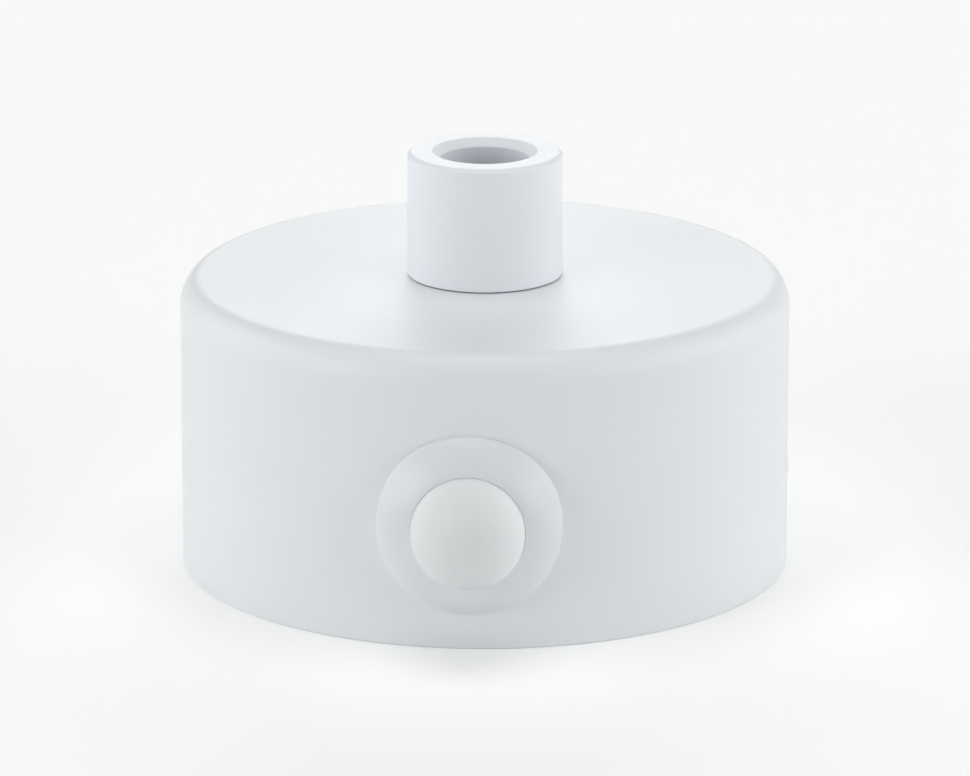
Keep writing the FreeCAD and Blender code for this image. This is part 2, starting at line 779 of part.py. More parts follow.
def return_spring():
    """Compression spring between the button's pocket and the switch base."""
    body = switch_body("return_spring")
    wire = sketch_on(body, "XZ_Plane")
    circle(wire, size.spring_wire, (size.spring_diameter / 2, base_front + size.spring_wire / 2))
    coil = body.newObject("PartDesign::AdditiveHelix", "return_spring_coil")
    coil.Profile = wire
    coil.ReferenceAxis = (wire, ["V_Axis"])
    coil.Mode = "height-turns-angle"
    bind(coil, "Height", spring_seat - base_front - size.spring_wire)
    coil.Turns = SPRING_TURNS
    return body


def contact_bridge():
    """Stamped strip that sits on the stem's neck and joins the two contacts."""
    body = switch_body("contact_bridge")
    strip = sketch_on(body, "XY_Plane", bridge_back)
    half_arm = size.bridge_arm_width / 2
    rectangle(strip, (-blade_reach, -half_arm), (blade_reach, half_arm))
    extrude(body, strip, size.bridge_thickness)
    middle = sketch_on(body, "XY_Plane", bridge_back)
    circle(middle, neck_diameter + size.bridge_ring_width * 2)
    extrude(body, middle, size.bridge_thickness)
    holes = sketch_on(body, "XY_Plane", bridge_back)
    circle(holes, neck_diameter + size.neck_clearance * 2)
    for sign in (1, -1):
        circle(holes, size.rivet_shank + size.thread_clearance * 2, (contact_offset * sign, 0))
    cut(body, holes, size.bridge_thickness, back=True)
    return body


def contact_rivet(name, turn, face, grip, head_out):
    """Rivet beside the switch axis whose head starts at a face and whose shank fills the strip."""
    body = switch_body(name, turn)
    head = sketch_on(body, "XY_Plane", face)
    centre = (contact_offset, 0)
    circle(head, size.contact_diameter, centre)
    extrude(body, head, size.contact_height, back=not head_out)
    shank = sketch_on(body, "XY_Plane", face)
    circle(shank, size.rivet_shank, centre)
    extrude(body, shank, grip, back=head_out)
    return body


def both_sides(name, make):
    """A piece and its twin half a turn round the switch axis."""
    return group_of(name, [make(f"{name}_{i}", turn) for i, turn in enumerate((Rotation(), HALF_TURN), 1)])


def moving_contacts():
    """Rivets under the bridge, facing the blades."""
    return both_sides(
        "moving_contacts",
        lambda name, turn: contact_rivet(name, turn, bridge_back, size.bridge_thickness, False),
    )


def fixed_contacts():
    """Rivets on the blades, facing the bridge."""
    return both_sides(
        "fixed_contacts",
        lambda name, turn: contact_rivet(name, turn, blade_top, size.blade_thickness, True),
    )


def terminal_blade(name, turn):
    """Blade folded outwards under its contact, with a wire eye at its tail."""
    body = switch_body(name, turn)
    outer = size.blade_offset + size.blade_thickness
    fold = blade_top - size.blade_thickness
    section = sketch_on(body, "XZ_Plane")
    outline(section, [
        (size.blade_offset, blade_end),
        (outer, blade_end),
        (outer, fold),
        (blade_reach, fold),
        (blade_reach, blade_top),
        (size.blade_offset, blade_top),
    ])
    folded = extrude(body, section, size.blade_width, both=True)
    fillet(body, folded, level_edges(folded, "y", size.blade_width / 2, blade_end), size.blade_corner)
    holes = sketch_on(body, "XY_Plane", blade_top)
    circle(holes, size.rivet_shank + size.thread_clearance * 2, (contact_offset, 0))
    cut(body, holes, size.blade_thickness)
    eye = sketch_on(body, "YZ_Plane")
    circle(eye, size.blade_eye, (0, blade_end + size.blade_width / 2))
    cut(body, eye, outer, back=True)
    return body


def switch_terminals():
    """The two terminal blades."""
    return both_sides("switch_terminals", terminal_blade)


def switch_base():
    """Rear plug with a rim, a spring post and two blade slots."""
    body = switch_body("switch_base")
    plug_radius = cavity_radius - size.base_clearance
    rim_radius = size.barrel_diameter / 2
    post_radius = (size.spring_diameter - size.spring_wire) / 2 - size.spring_play
    post_top = base_front + size.post_height
    profile = sketch_on(body, "XZ_Plane")
    outline(profile, [
        (0, base_back),
        (rim_radius, base_back),
        (rim_radius, barrel_end),
        (plug_radius, barrel_end),
        (plug_radius, base_front),
        (post_radius, base_front),
        (post_radius, post_top),
        (0, post_top),
    ])
    revolve(body, profile)
    slots = sketch_on(body, "XY_Plane", base_front)
    play = size.base_clearance
    half_blade = size.blade_width / 2 + play
    inner = size.blade_offset - play
    outer = size.blade_offset + size.blade_thickness + play
    rectangle(slots, (inner, -half_blade), (outer, half_blade))
    rectangle(slots, (-outer, -half_blade), (-inner, half_blade))
    cut(body, slots, base_front - base_back)
    return body


def switch_nut():
    """Nut on the barrel, its side flats touching the inside of the canopy."""
    flats_touch = chord_depth(canopy_inside, size.switch_nut_width / 2)
    front = flats_touch - canopy_radius - size.saddle_clearance
    hole = size.barrel_diameter + size.thread_clearance * 2
    thickness = size.switch_nut_thickness
    return hexagon_nut(switch_body("switch_nut"), size.switch_nut_width, hole, front - thickness, thickness)


# The terminal block is drawn about the middle of its foot, on top of the bracket's tongue
block_point = (0, block_middle, size.bracket_thickness)
first_pole = -size.pole_pitch * ((POLES - 1) / 2)
pole_axis = size.pole_diameter / 2 + size.peg_short
sleeve_hole = size.sleeve_diameter + size.base_clearance * 2
sleeve_top = pole_axis + size.sleeve_diameter / 2
clamp_seat = sleeve_top + size.clamp_rise
clamp_length = clamp_seat - (pole_axis + size.sleeve_bore / 2) + size.clamp_reach


def terminal_block():
    """Moulded strip: foot plate with pegs, round poles, screw turrets and wire tunnels."""
    body = new_body("terminal_block", block_point)
    half_length = size.pole_pitch * (POLES / 2)
    half_depth = size.block_depth / 2
    foot = sketch_on(body, "XY_Plane")
    rectangle(foot, (-half_length, -half_depth), (half_length, half_depth))
    extrude(body, foot, size.block_foot)

    pole = sketch_on(body, "XZ_Plane")
    circle(pole, size.pole_diameter, (first_pole, pole_axis))
    in_row(body, [extrude(body, pole, size.block_depth, both=True)], size.pole_pitch, POLES)

    turrets = sketch_on(body, "XY_Plane", pole_axis)
    for sign in (1, -1):
        circle(turrets, size.turret_diameter, (first_pole, size.turret_spacing / 2 * sign))
    in_row(body, [extrude(body, turrets, size.turret_top - pole_axis)], size.pole_pitch, POLES)

    tunnel = sketch_on(body, "XZ_Plane")
    circle(tunnel, sleeve_hole, (first_pole, pole_axis))
    in_row(body, [cut(body, tunnel, size.block_depth, both=True)], size.pole_pitch, POLES)

    shafts = sketch_on(body, "XY_Plane", size.turret_top)
    for sign in (1, -1):
        shaft_place = (first_pole, size.turret_spacing / 2 * sign)
        circle(shafts, size.clamp_head + size.hole_clearance * 2, shaft_place)
    in_row(body, [cut(body, shafts, size.turret_top - pole_axis)], size.pole_pitch, POLES)

    pegs = sketch_on(body, "XY_Plane")
    for sign in (1, -1):
        circle(pegs, size.peg_diameter, (0, size.peg_spacing / 2 * sign))
    body.Tip = extrude(body, pegs, size.bracket_thickness - size.peg_short, back=True)
    return body


def pole_places():
    """The X of each pole."""
    return [first_pole + size.pole_pitch * index for index in range(POLES)]


def terminal_sleeves():
    """Brass sleeves in the tunnels, each tapped for two clamp screws."""
    sleeves = []
    for pole_x in pole_places():
        base = (pole_x, block_middle, size.bracket_thickness + pole_axis)
        body = new_body(f"sleeve_{len(sleeves) + 1}", base)
        tube = sketch_on(body, "XZ_Plane")
        circle(tube, size.sleeve_diameter)
        circle(tube, size.sleeve_bore)
        extrude(body, tube, size.sleeve_length, both=True)
        tapped = sketch_on(body, "XY_Plane")
        for sign in (1, -1):
            place = (0, size.turret_spacing / 2 * sign)
            circle(tapped, size.clamp_shank + size.thread_clearance * 2, place)
        cut(body, tapped, size.sleeve_diameter, back=True)
        sleeves.append(body)
    return group_of("terminal_sleeves", sleeves)


def terminal_screws():
    """Clamp screws down the turrets into the sleeves."""
    screws = []
    for pole_x in pole_places():
        for sign in (1, -1):
            place_y = block_middle + size.turret_spacing / 2 * sign
            base = (pole_x, place_y, size.bracket_thickness + clamp_seat)
            body = new_body(f"clamp_screw_{len(screws) + 1}", base)
            slotted_screw(body, size.clamp_shank, size.clamp_head, size.clamp_head_height, clamp_length)
            screws.append(body)
    return group_of("terminal_screws", screws)


pieces = [
    canopy(),
    outlet_collar(),
    collar_gasket(),
    threaded_nipple(),
    lock_washer(),
    nipple_nut(),
    mounting_bracket(),
    side_screws(),
    earth_screw(),
    earth_washer(),
    switch_housing(),
    push_button(),
    return_spring(),
    contact_bridge(),
    moving_contacts(),
    switch_terminals(),
    fixed_contacts(),
    switch_base(),
    switch_nut(),
    terminal_block(),
    terminal_sleeves(),
    terminal_screws(),
]
doc.recompute()

for item in doc.Objects:
    if "Invalid" in item.State or "Error" in item.State:
        raise RuntimeError(f"{item.Label} failed: {item.State}")
for piece in pieces:
    if piece.Shape.isNull() or not piece.Shape.isValid():
        raise RuntimeError(f"{piece.Label} has no valid shape")

os.makedirs("parts", exist_ok=True)
for piece in pieces:
    piece.Shape.exportStep(f"parts/{piece.Label}.step")
    print(f"{piece.Label}: {len(piece.Shape.Solids)} solid(s), {piece.Shape.Volume:.1f} mm3")
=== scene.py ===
# %% [markdown]
# # A small ceiling rose with a push button
# The rose is a drawn steel cup, painted cool white, with a turned outlet collar on its end face and a
# domed button in a round bezel on its wall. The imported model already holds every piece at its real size
# and place, so this lesson only dresses it: it loads that frame, makes finer skins for the pieces that
# show, gives every piece a finish of its own, and lights it like a product on a pale table.

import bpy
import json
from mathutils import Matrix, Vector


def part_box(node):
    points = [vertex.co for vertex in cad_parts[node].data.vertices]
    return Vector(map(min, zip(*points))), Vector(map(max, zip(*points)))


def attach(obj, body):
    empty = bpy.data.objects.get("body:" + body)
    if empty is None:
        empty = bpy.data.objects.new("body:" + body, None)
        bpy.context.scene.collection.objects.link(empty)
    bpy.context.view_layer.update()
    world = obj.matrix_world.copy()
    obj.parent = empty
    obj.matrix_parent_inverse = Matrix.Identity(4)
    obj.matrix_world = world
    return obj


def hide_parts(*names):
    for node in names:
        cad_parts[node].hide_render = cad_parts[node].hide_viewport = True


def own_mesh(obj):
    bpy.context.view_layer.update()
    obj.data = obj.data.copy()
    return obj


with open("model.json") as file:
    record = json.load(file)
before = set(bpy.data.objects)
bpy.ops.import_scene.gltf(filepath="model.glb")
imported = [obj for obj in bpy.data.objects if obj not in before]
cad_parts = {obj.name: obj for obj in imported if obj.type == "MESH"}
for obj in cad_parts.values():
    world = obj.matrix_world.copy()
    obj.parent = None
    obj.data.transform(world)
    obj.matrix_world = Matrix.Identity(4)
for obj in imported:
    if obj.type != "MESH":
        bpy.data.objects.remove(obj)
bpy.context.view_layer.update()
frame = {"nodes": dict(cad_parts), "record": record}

# %% Other modules
import json
import math

import bmesh
import bpy
import numpy as np
from mathutils import Vector

MM = 0.001
print("Blender", bpy.app.version_string, "works in metres here")

# %% [markdown]
# ## Camera
# A catalogue picture like this is taken with a long lens, so the cup's sides hardly converge. The camera
# stands in front of the button, a little to its right, and looks down by about 17 degrees. It could be
# moved by hand until the view is right, but two angles and a distance are easier to read and to correct.
# The lens is worked out from the width of the picture in pixels and how many of them a radian covers.

# %% Place the camera
PICTURE_WIDTH = 970
PIXELS_PER_RADIAN = 7466
SENSOR_WIDTH = 36.0
CAMERA_DISTANCE = 800 * MM
CAMERA_ELEVATION = math.radians(16.57)
CAMERA_AZIMUTH = math.radians(2.9)
LOOK_AT = Vector((0, 0, 18.6 * MM))
NEAR_CLIP = 10 * MM

camera_data = bpy.data.cameras.new("catalogue_camera")
camera_data.sensor_width = SENSOR_WIDTH
camera_data.lens = PIXELS_PER_RADIAN * SENSOR_WIDTH / PICTURE_WIDTH
camera_data.clip_start = NEAR_CLIP
camera = bpy.data.objects.new("catalogue_camera", camera_data)
bpy.context.scene.collection.objects.link(camera)
backwards = Vector((
    math.sin(CAMERA_AZIMUTH) * math.cos(CAMERA_ELEVATION),
    -math.cos(CAMERA_AZIMUTH) * math.cos(CAMERA_ELEVATION),
    math.sin(CAMERA_ELEVATION),
))
camera.location = LOOK_AT + backwards * CAMERA_DISTANCE
camera.rotation_mode = "QUATERNION"
camera.rotation_quaternion = (-backwards).to_track_quat("-Z", "Y")
bpy.context.scene.camera = camera
print(f"lens {camera_data.lens:.0f} mm at {CAMERA_DISTANCE:.2f} m")

# %% [markdown]
# ## Profiles with real edges
# Nothing that is turned, drawn or moulded has a knife edge, and a small round along every edge is what
# catches the light. A Bevel modifier could round a finished mesh, but one modifier has one width. Here a
# profile is given as a few corners instead, each with its own radius. Every corner becomes an arc, and
# each straight run between two arcs gets points close to its ends, which keep the shading of flat faces
# flat.

# %% Rounded corners
ARC_STEPS = 10
HOLD = 0.12 * MM
HOLD_LIMIT = 0.2
SHORTEST = 1e-9


def held_runs(start, end):
    """Inner points of straight runs: close to both ends, and at thirds between them."""
    length = np.linalg.norm(end - start, axis=1, keepdims=True)
    near = np.minimum(HOLD / np.maximum(length, SHORTEST), HOLD_LIMIT)
    third = np.full_like(near, 1 / 3)
    share = np.concatenate([near, third, 2 * third, 1 - near], axis=1)
    return start[:, None] + (end - start)[:, None] * share[..., None]


def corner_arcs(before, place, after, radius, steps):
    """Arcs that round the corners at some places, between the places before and after them.

    For a corner P with unit directions a and b to its neighbours and half angle h between them, the arc's
    centre is P + (a + b) / |a + b| * radius / sin h, and it starts at P + a * radius / tan h. Points turn
    from that start to its mirror image about the centre.
    """
    to_before = (before - place) / np.linalg.norm(before - place, axis=1, keepdims=True)
    to_after = (after - place) / np.linalg.norm(after - place, axis=1, keepdims=True)
    half = np.arccos(np.clip((to_before * to_after).sum(1, keepdims=True), -1, 1)) / 2
    middle = to_before + to_after
    centre = place + middle / np.linalg.norm(middle, axis=1, keepdims=True) * radius / np.sin(half)
    first = place + to_before * radius / np.tan(half) - centre
    last = place + to_after * radius / np.tan(half) - centre
    turn = np.pi - 2 * half
    share = np.linspace(0, 1, steps)
    weight_first = np.sin((1 - share) * turn) / np.sin(turn)
    weight_last = np.sin(share * turn) / np.sin(turn)
    from_first = first[:, None] * weight_first[..., None]
    from_last = last[:, None] * weight_last[..., None]
    return centre[:, None] + from_first + from_last


def rounded(corners, closed=True, arc_steps=ARC_STEPS):
    """Points of a profile from corners of (across, along, radius). An open one keeps its two ends."""
    table = np.array(corners, float)
    place, radius = table[:, :2], table[:, 2:]
    if closed:
        before, after = np.roll(place, 1, axis=0), np.roll(place, -1, axis=0)
        arcs = corner_arcs(before, place, after, radius, arc_steps)
        runs = held_runs(arcs[:, -1], np.roll(arcs[:, 0], -1, axis=0))
        return np.concatenate([arcs, runs], axis=1).reshape(-1, 2)
    arcs = corner_arcs(place[:-2], place[1:-1], place[2:], radius[1:-1], arc_steps)
    first, last = place[:1], place[-1:]
    runs = held_runs(np.concatenate([first, arcs[:, -1]]), np.concatenate([arcs[:, 0], last]))
    body = np.concatenate([arcs, runs[1:]], axis=1).reshape(-1, 2)
    return np.concatenate([first, runs[0], body, last])


square = rounded([(0, 0, HOLD), (MM, 0, HOLD), (MM, MM, HOLD), (0, MM, HOLD)])
print("points on a small square with rounded corners:", len(square))

# %% [markdown]
# ## Bows
# Some sides are round as a whole, like the dome of a button or the edge of a drawn cup. A curve object
# could draw them, but two ends and a radius say all that is needed, and the points then belong to the
# same profile as the corners.

# %% Bows
BOW_STEPS = 20


def arc_centre(start, end, radius):
    """Centre of the short arc of a radius from one point to another.

    It lies off the middle of the chord by sqrt(radius^2 - (chord / 2)^2): to the left of the way from start
    to end, or to the right where the radius is negative.
    """
    chord = end - start
    length = np.linalg.norm(chord)
    left = np.array([-chord[1], chord[0]]) / length
    return (start + end) / 2 + left * np.sign(radius) * np.sqrt(radius ** 2 - length ** 2 / 4)


def bow(start, end, radius, steps=BOW_STEPS):
    """Points of the short arc of a radius from one point to another, in equal turns about its centre."""
    start, end = np.array(start, float), np.array(end, float)
    centre = arc_centre(start, end, radius)
    turn = 2 * np.arcsin(np.linalg.norm(end - start) / 2 / abs(radius))
    share = np.linspace(0, 1, steps)[:, None]
    spokes = (start - centre) * np.sin((1 - share) * turn) + (end - centre) * np.sin(share * turn)
    return centre + spokes / np.sin(turn)


third_of_turn = bow((1, 0), (math.cos(math.tau / 3), math.sin(math.tau / 3)), 1.0)
arc_length = np.linalg.norm(np.diff(third_of_turn, axis=0), axis=1).sum()
print(f"a third of a turn at radius 1 measures {arc_length:.3f} of {math.tau / 3:.3f}")

# %% [markdown]
# ## Skins
# A turned piece is its profile carried round an axis: the angle is one parameter and the place along the
# profile is the other. Blender's Screw modifier could do this too, but a plain grid of points can also be
# bent afterwards, as the bezel and the threads need, and its faces are known to be even.

# %% Grids of points
def turned(profile, segments):
    """A profile of (radius, height) carried round Z: x = r cos u, y = r sin u, z = height."""
    angle = np.linspace(0, 2 * np.pi, segments, endpoint=False)[:, None]
    radius, height = profile[:, 0], profile[:, 1]
    return np.stack(np.broadcast_arrays(radius * np.cos(angle), radius * np.sin(angle), height), axis=-1)


def quads_of(rows, columns, closed):
    """Corner numbers of the grid's faces: rows always join up, columns where the profile is closed."""
    row = np.arange(rows)[:, None]
    column = np.arange(columns if closed else columns - 1)[None, :]
    next_row, next_column = (row + 1) % rows, (column + 1) % columns
    corners = [row * columns + column, next_row * columns + column]
    corners += [next_row * columns + next_column, row * columns + next_column]
    return np.stack(np.broadcast_arrays(*corners), axis=-1).reshape(-1, 4)


print("faces of a closed grid of 4 by 3 points:", len(quads_of(4, 3, closed=True)))

# %% From a grid to a mesh
WELD_DISTANCE = 1e-7
SHARP_ANGLE = math.radians(35)


def enclosed_volume(points, quads):
    """Volume inside a closed skin, negative where its faces point inwards."""
    a, b, c, d = (points[quads[:, i]] for i in range(4))
    return (np.einsum("ij,ij->i", a, np.cross(b, c)) + np.einsum("ij,ij->i", a, np.cross(c, d))).sum() / 6


def shade(mesh):
    """Smooth shading that breaks only at real edges."""
    mesh.shade_smooth()
    mesh.set_sharp_from_angle(angle=SHARP_ANGLE)


def mesh_from(name, points, quads):
    """A mesh object whose faces point outwards, with its poles and seams welded."""
    if enclosed_volume(points, quads) < 0:
        quads = quads[:, ::-1]
    mesh = bpy.data.meshes.new(name)
    mesh.from_pydata(points.tolist(), [], quads.tolist())
    work = bmesh.new()
    work.from_mesh(mesh)
    bmesh.ops.remove_doubles(work, verts=work.verts, dist=WELD_DISTANCE)
    work.to_mesh(mesh)
    work.free()
    shade(mesh)
    piece = bpy.data.objects.new(name, mesh)
    bpy.context.scene.collection.objects.link(piece)
    return piece


def skin(name, grid, closed=True):
    """The mesh of a whole grid of points."""
    rows, columns = grid.shape[:2]
    return mesh_from(name, grid.reshape(-1, 3), quads_of(rows, columns, closed))


print(f"edges that turn by more than {math.degrees(SHARP_ANGLE):.0f} degrees stay sharp")

# %% [markdown]
# ## A new piece in the frame
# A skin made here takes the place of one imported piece. It rides on the same body, so that the joint moves
# it too, and it carries the same material slot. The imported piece's own mesh could be smoothed instead,
# but its triangles come from a tolerance, and only a new mesh has points where the edges need them.

# %% Put a piece in its node's place
SLOT_OF = {entry["node"]: entry["material_slot"] for entry in frame["record"]["subparts"]}


def install(piece, node, body):
    """Puts a new piece in a CAD node's place, on its body, and hides the node."""
    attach(piece, body)
    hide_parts(node)
    print(f"{piece.name}: {len(piece.data.polygons)} faces")


print("material slots:", len(set(SLOT_OF.values())))

# %% [markdown]
# ## Canopy
# The canopy is drawn from one sheet of steel, so it has one even wall, a generous radius where the wall
# turns towards the end face, and a cut rim that stands on the ceiling. The end face is pressed flat after
# drawing, which leaves a soft crease where the radius meets it. A Solidify modifier could give a thin
# surface its wall, but it wouldn't round the cut edges. So the section is one closed loop, out over the
# wall and back under it, carried round the axis.

# %% Section of the canopy
canopy_low, canopy_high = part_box("canopy")
CANOPY_RADIUS = canopy_high.x
CANOPY_HEIGHT = canopy_high.z - canopy_low.z
SHEET = 1.0 * MM
CANOPY_EDGE = 3.5 * MM
EDGE_DROP = 0.4 * MM
CREASE_ROUND = 2.0 * MM
CANOPY_HOLE = 5.135 * MM
CUT_EDGE = 0.18 * MM


def canopy_section():
    """The closed section of the cup: rim, wall, bowed edge, eased crease, end face, hole and back inside.

    The round that eases the crease touches the edge's arc and the end face from below. Its centre therefore
    lies CANOPY_EDGE - CREASE_ROUND from the arc's centre and CREASE_ROUND under the face, and it meets the
    arc where the line through both centres does.
    """
    inside = CANOPY_RADIUS - SHEET
    under = CANOPY_HEIGHT - SHEET
    inner_edge = CANOPY_EDGE - SHEET
    rise = CANOPY_EDGE - EDGE_DROP
    foot = CANOPY_HEIGHT - rise
    edge_centre = CANOPY_RADIUS - CANOPY_EDGE
    between = CANOPY_EDGE - CREASE_ROUND
    ease_up = rise - CREASE_ROUND
    ease_out = math.sqrt(between ** 2 - ease_up ** 2)
    reach = CANOPY_EDGE / between
    ease_start = (edge_centre + ease_out * reach, foot + ease_up * reach)
    inner_flat = edge_centre + math.sqrt(inner_edge ** 2 - (rise - SHEET) ** 2)
    rim = rounded([
        (inside, foot, 0),
        (inside, 0, CUT_EDGE),
        (CANOPY_RADIUS, 0, CUT_EDGE),
        (CANOPY_RADIUS, foot, 0),
    ], closed=False)
    hole = rounded([
        (edge_centre + ease_out, CANOPY_HEIGHT, 0),
        (CANOPY_HOLE, CANOPY_HEIGHT, CUT_EDGE),
        (CANOPY_HOLE, under, CUT_EDGE),
        (inner_flat, under, 0),
    ], closed=False)
    outer_bow = bow(rim[-1], ease_start, CANOPY_EDGE)
    crease = bow(ease_start, hole[0], CREASE_ROUND)
    inner_bow = bow(hole[-1], rim[0], -inner_edge)
    return np.concatenate([rim, outer_bow[1:], crease[1:-1], hole, inner_bow[1:-1]])


cup_section = canopy_section()
print(f"section of the cup: {len(cup_section)} points, {CANOPY_HEIGHT / MM:.1f} mm high")

# %% [markdown]
# ## Holes in the canopy
# Two tapped holes take the set screws, and a large one takes the switch. They belong to other axes than
# the cup, so its section can't hold them. Faces could be deleted by hand and bridged, but a Boolean with
# a rod gives a true edge on the curved wall. The short collars drawn inwards round the tapped holes are
# joined first, and one long rod then goes through both collars and the wall.

# %% Rods that join and cut
ROD_SEGMENTS = 96


def rod(name, radius, start, end):
    """A closed rod between two points, used to cut or to join."""
    start, end = np.array(start, float), np.array(end, float)
    length = np.linalg.norm(end - start)
    profile = np.array([(0, 0), (radius, 0), (radius, length), (0, length)])
    grid = turned(profile, ROD_SEGMENTS)
    along = (end - start) / length
    across = np.cross(along, (0, 0, 1.0))
    frame_axes = np.stack([across, np.cross(along, across), along])
    return skin(name, grid @ frame_axes + start, closed=False)


def carve(piece, tool, operation):
    """Joins or cuts one mesh with another and removes the tool."""
    modifier = piece.modifiers.new("carve", "BOOLEAN")
    modifier.operation = operation
    modifier.solver = "EXACT"
    modifier.object = tool
    graph = bpy.context.evaluated_depsgraph_get()
    carved = bpy.data.meshes.new_from_object(piece.evaluated_get(graph))
    piece.modifiers.clear()
    piece.data = carved
    shade(piece.data)
    print(f"{operation.lower()} of {piece.name} and {tool.name}: {len(carved.polygons)} faces")
    bpy.data.objects.remove(tool)


print("sides of a rod:", ROD_SEGMENTS)

# %% Canopy
CANOPY_SEGMENTS = 288
SWITCH_HEIGHT = 13.5 * MM
PANEL_HOLE = 8.15 * MM
SIDE_SCREW_HEIGHT = 11.5 * MM
TAPPED_HOLE = 2.03 * MM
DRAWN_COLLAR = 2.93 * MM
DRAWN_LENGTH = 1.2 * MM
ROD_REACH = 1.1

canopy = skin("canopy_skin", turned(cup_section, CANOPY_SEGMENTS))
for side in (1, -1):
    inner = (CANOPY_RADIUS - SHEET - DRAWN_LENGTH) * side
    middle = (CANOPY_RADIUS - SHEET / 2) * side
    drawn = rod("drawn_collar", DRAWN_COLLAR, (inner, 0, SIDE_SCREW_HEIGHT), (middle, 0, SIDE_SCREW_HEIGHT))
    carve(canopy, drawn, "UNION")
past = CANOPY_RADIUS * ROD_REACH
tapped = rod("tapped_holes", TAPPED_HOLE, (-past, 0, SIDE_SCREW_HEIGHT), (past, 0, SIDE_SCREW_HEIGHT))
carve(canopy, tapped, "DIFFERENCE")
panel = rod("panel_hole", PANEL_HOLE, (0, -past, SWITCH_HEIGHT), (0, 0, SWITCH_HEIGHT))
carve(canopy, panel, "DIFFERENCE")
install(canopy, "canopy", "rose")

# %% [markdown]
# ## Outlet collar
# The collar is a turned piece: a plain cylinder with a fine bevel at the top, a bevelled mouth and a
# smooth bore that ends on the nipple. A cylinder with a hole cut in it would need its bevels afterwards,
# so it is one closed section again. It has tiny radii at the bevels, because painted edges are softer
# than bare ones.

# %% Outlet collar
collar_low, collar_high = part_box("outlet_collar")
COLLAR_RADIUS = collar_high.x
COLLAR_BEVEL = 0.4 * MM
COLLAR_SEGMENTS = 192
MOUTH_RADIUS = 4.75 * MM
MOUTH_BEVEL = 0.85 * MM
MOUTH_DEPTH = 6.2 * MM
NIPPLE_HOLE = 5.015 * MM
PAINTED_EDGE = 0.16 * MM
HIDDEN_EDGE = 0.04 * MM


def collar_section():
    """The closed section of the collar, from its foot up the outside and down the mouth."""
    top, foot = collar_high.z, collar_low.z
    return rounded([
        (NIPPLE_HOLE, foot, HIDDEN_EDGE),
        (COLLAR_RADIUS, foot, PAINTED_EDGE),
        (COLLAR_RADIUS, top - COLLAR_BEVEL, PAINTED_EDGE),
        (COLLAR_RADIUS - COLLAR_BEVEL, top, PAINTED_EDGE),
        (MOUTH_RADIUS + MOUTH_BEVEL, top, PAINTED_EDGE),
        (MOUTH_RADIUS, top - MOUTH_BEVEL, PAINTED_EDGE),
        (MOUTH_RADIUS, top - MOUTH_DEPTH, HIDDEN_EDGE),
        (NIPPLE_HOLE, top - MOUTH_DEPTH, HIDDEN_EDGE),
    ])


collar = skin("outlet_collar_skin", turned(collar_section(), COLLAR_SEGMENTS))
install(collar, "outlet_collar", "rose")

# %% [markdown]
# ## Threads
# A thread is a cylinder whose radius dips along a helix. A ridge could be wound round a rod and joined to
# it, but on a grid of angle and height the dip depends on one number only, the height in pitches minus
# the angle in turns, so the whole thread is one formula. Its crest sinks to the root at both ends, where
# a real thread is bevelled.

# %% Thread formula
THREAD_FLAT = 0.12
THREAD_SHARE = 0.55
END_STEEPNESS = 1.6
POINTS_PER_PITCH = 12


def thread_dip(angle, along, start, end, pitch):
    """Depth of a thread below its crest.

    It is a triangle wave of height / pitch - angle / turn, cut to a flat at crest and root. Near the start
    and the end it is at least 1 - steepness * (distance in pitches) of the full depth.
    """
    phase = along / pitch - angle / (2 * np.pi)
    wave = np.abs(2 * (phase - np.floor(phase)) - 1)
    wave = np.clip((wave - THREAD_FLAT) / (1 - 2 * THREAD_FLAT), 0, 1)
    from_end = np.minimum(along - start, end - along) / pitch
    return pitch * THREAD_SHARE * np.maximum(wave, 1 - np.clip(from_end * END_STEEPNESS, 0, 1))


print(f"a thread of 1 mm pitch is {thread_dip(0, np.zeros(1), 0, MM, MM).max() / MM:.2f} mm deep")

# %% [markdown]
# ## Nipple
# The nipple is a hollow threaded tube that carries the collar. Only its tail shows, under the nut, and
# its end down in the collar's mouth. A plain tube with a bump in its finish could stand for it, but seen
# from the side a bump has no teeth. The section is a closed loop of a dense outer line, which takes the
# thread, and a plain bore.

# %% Threaded nipple
nipple_low, nipple_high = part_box("threaded_nipple")
NIPPLE_RADIUS = nipple_high.x
NIPPLE_BORE = 4.0 * MM
NIPPLE_PITCH = 1.0 * MM
NIPPLE_SEGMENTS = 96


def threaded_tube(radius, bore, low, high, pitch, segments):
    """A tube about Z: the outer line dips along the thread, the inner line is straight."""
    count = int((high - low) / pitch * POINTS_PER_PITCH)
    along = np.linspace(low, high, count)
    angle = np.linspace(0, 2 * np.pi, segments, endpoint=False)[:, None]
    outer = radius - thread_dip(angle, along, low, high, pitch)
    inner_along = np.array([high, high - HOLD, low + HOLD, low])
    height = np.broadcast_to(np.concatenate([along, inner_along]), (segments, count + inner_along.size))
    radii = np.concatenate([outer, np.full((segments, inner_along.size), bore)], axis=1)
    return np.stack([radii * np.cos(angle), radii * np.sin(angle), height], axis=-1)


nipple_grid = threaded_tube(
    NIPPLE_RADIUS, NIPPLE_BORE, nipple_low.z, nipple_high.z, NIPPLE_PITCH, NIPPLE_SEGMENTS,
)
nipple = skin("threaded_nipple_skin", nipple_grid)
install(nipple, "threaded_nipple", "rose")

# %% [markdown]
# ## Bezel and barrel
# The switch goes into the wall from outside. Its bezel is a domed ring whose back is moulded to the cup,
# so it sits tight on the round wall, and the threaded barrel behind it takes the nut. A Boolean could cut
# the back, but it would break up the even grid. So the skin is one closed profile carried round the
# switch's own axis, and the points on the bezel's back are then dropped onto the canopy's cylinder: out =
# sqrt(R^2 - x^2) - R.

# %% Switch frame
housing_low, housing_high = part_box("switch_housing")
WALL_Y = -CANOPY_RADIUS


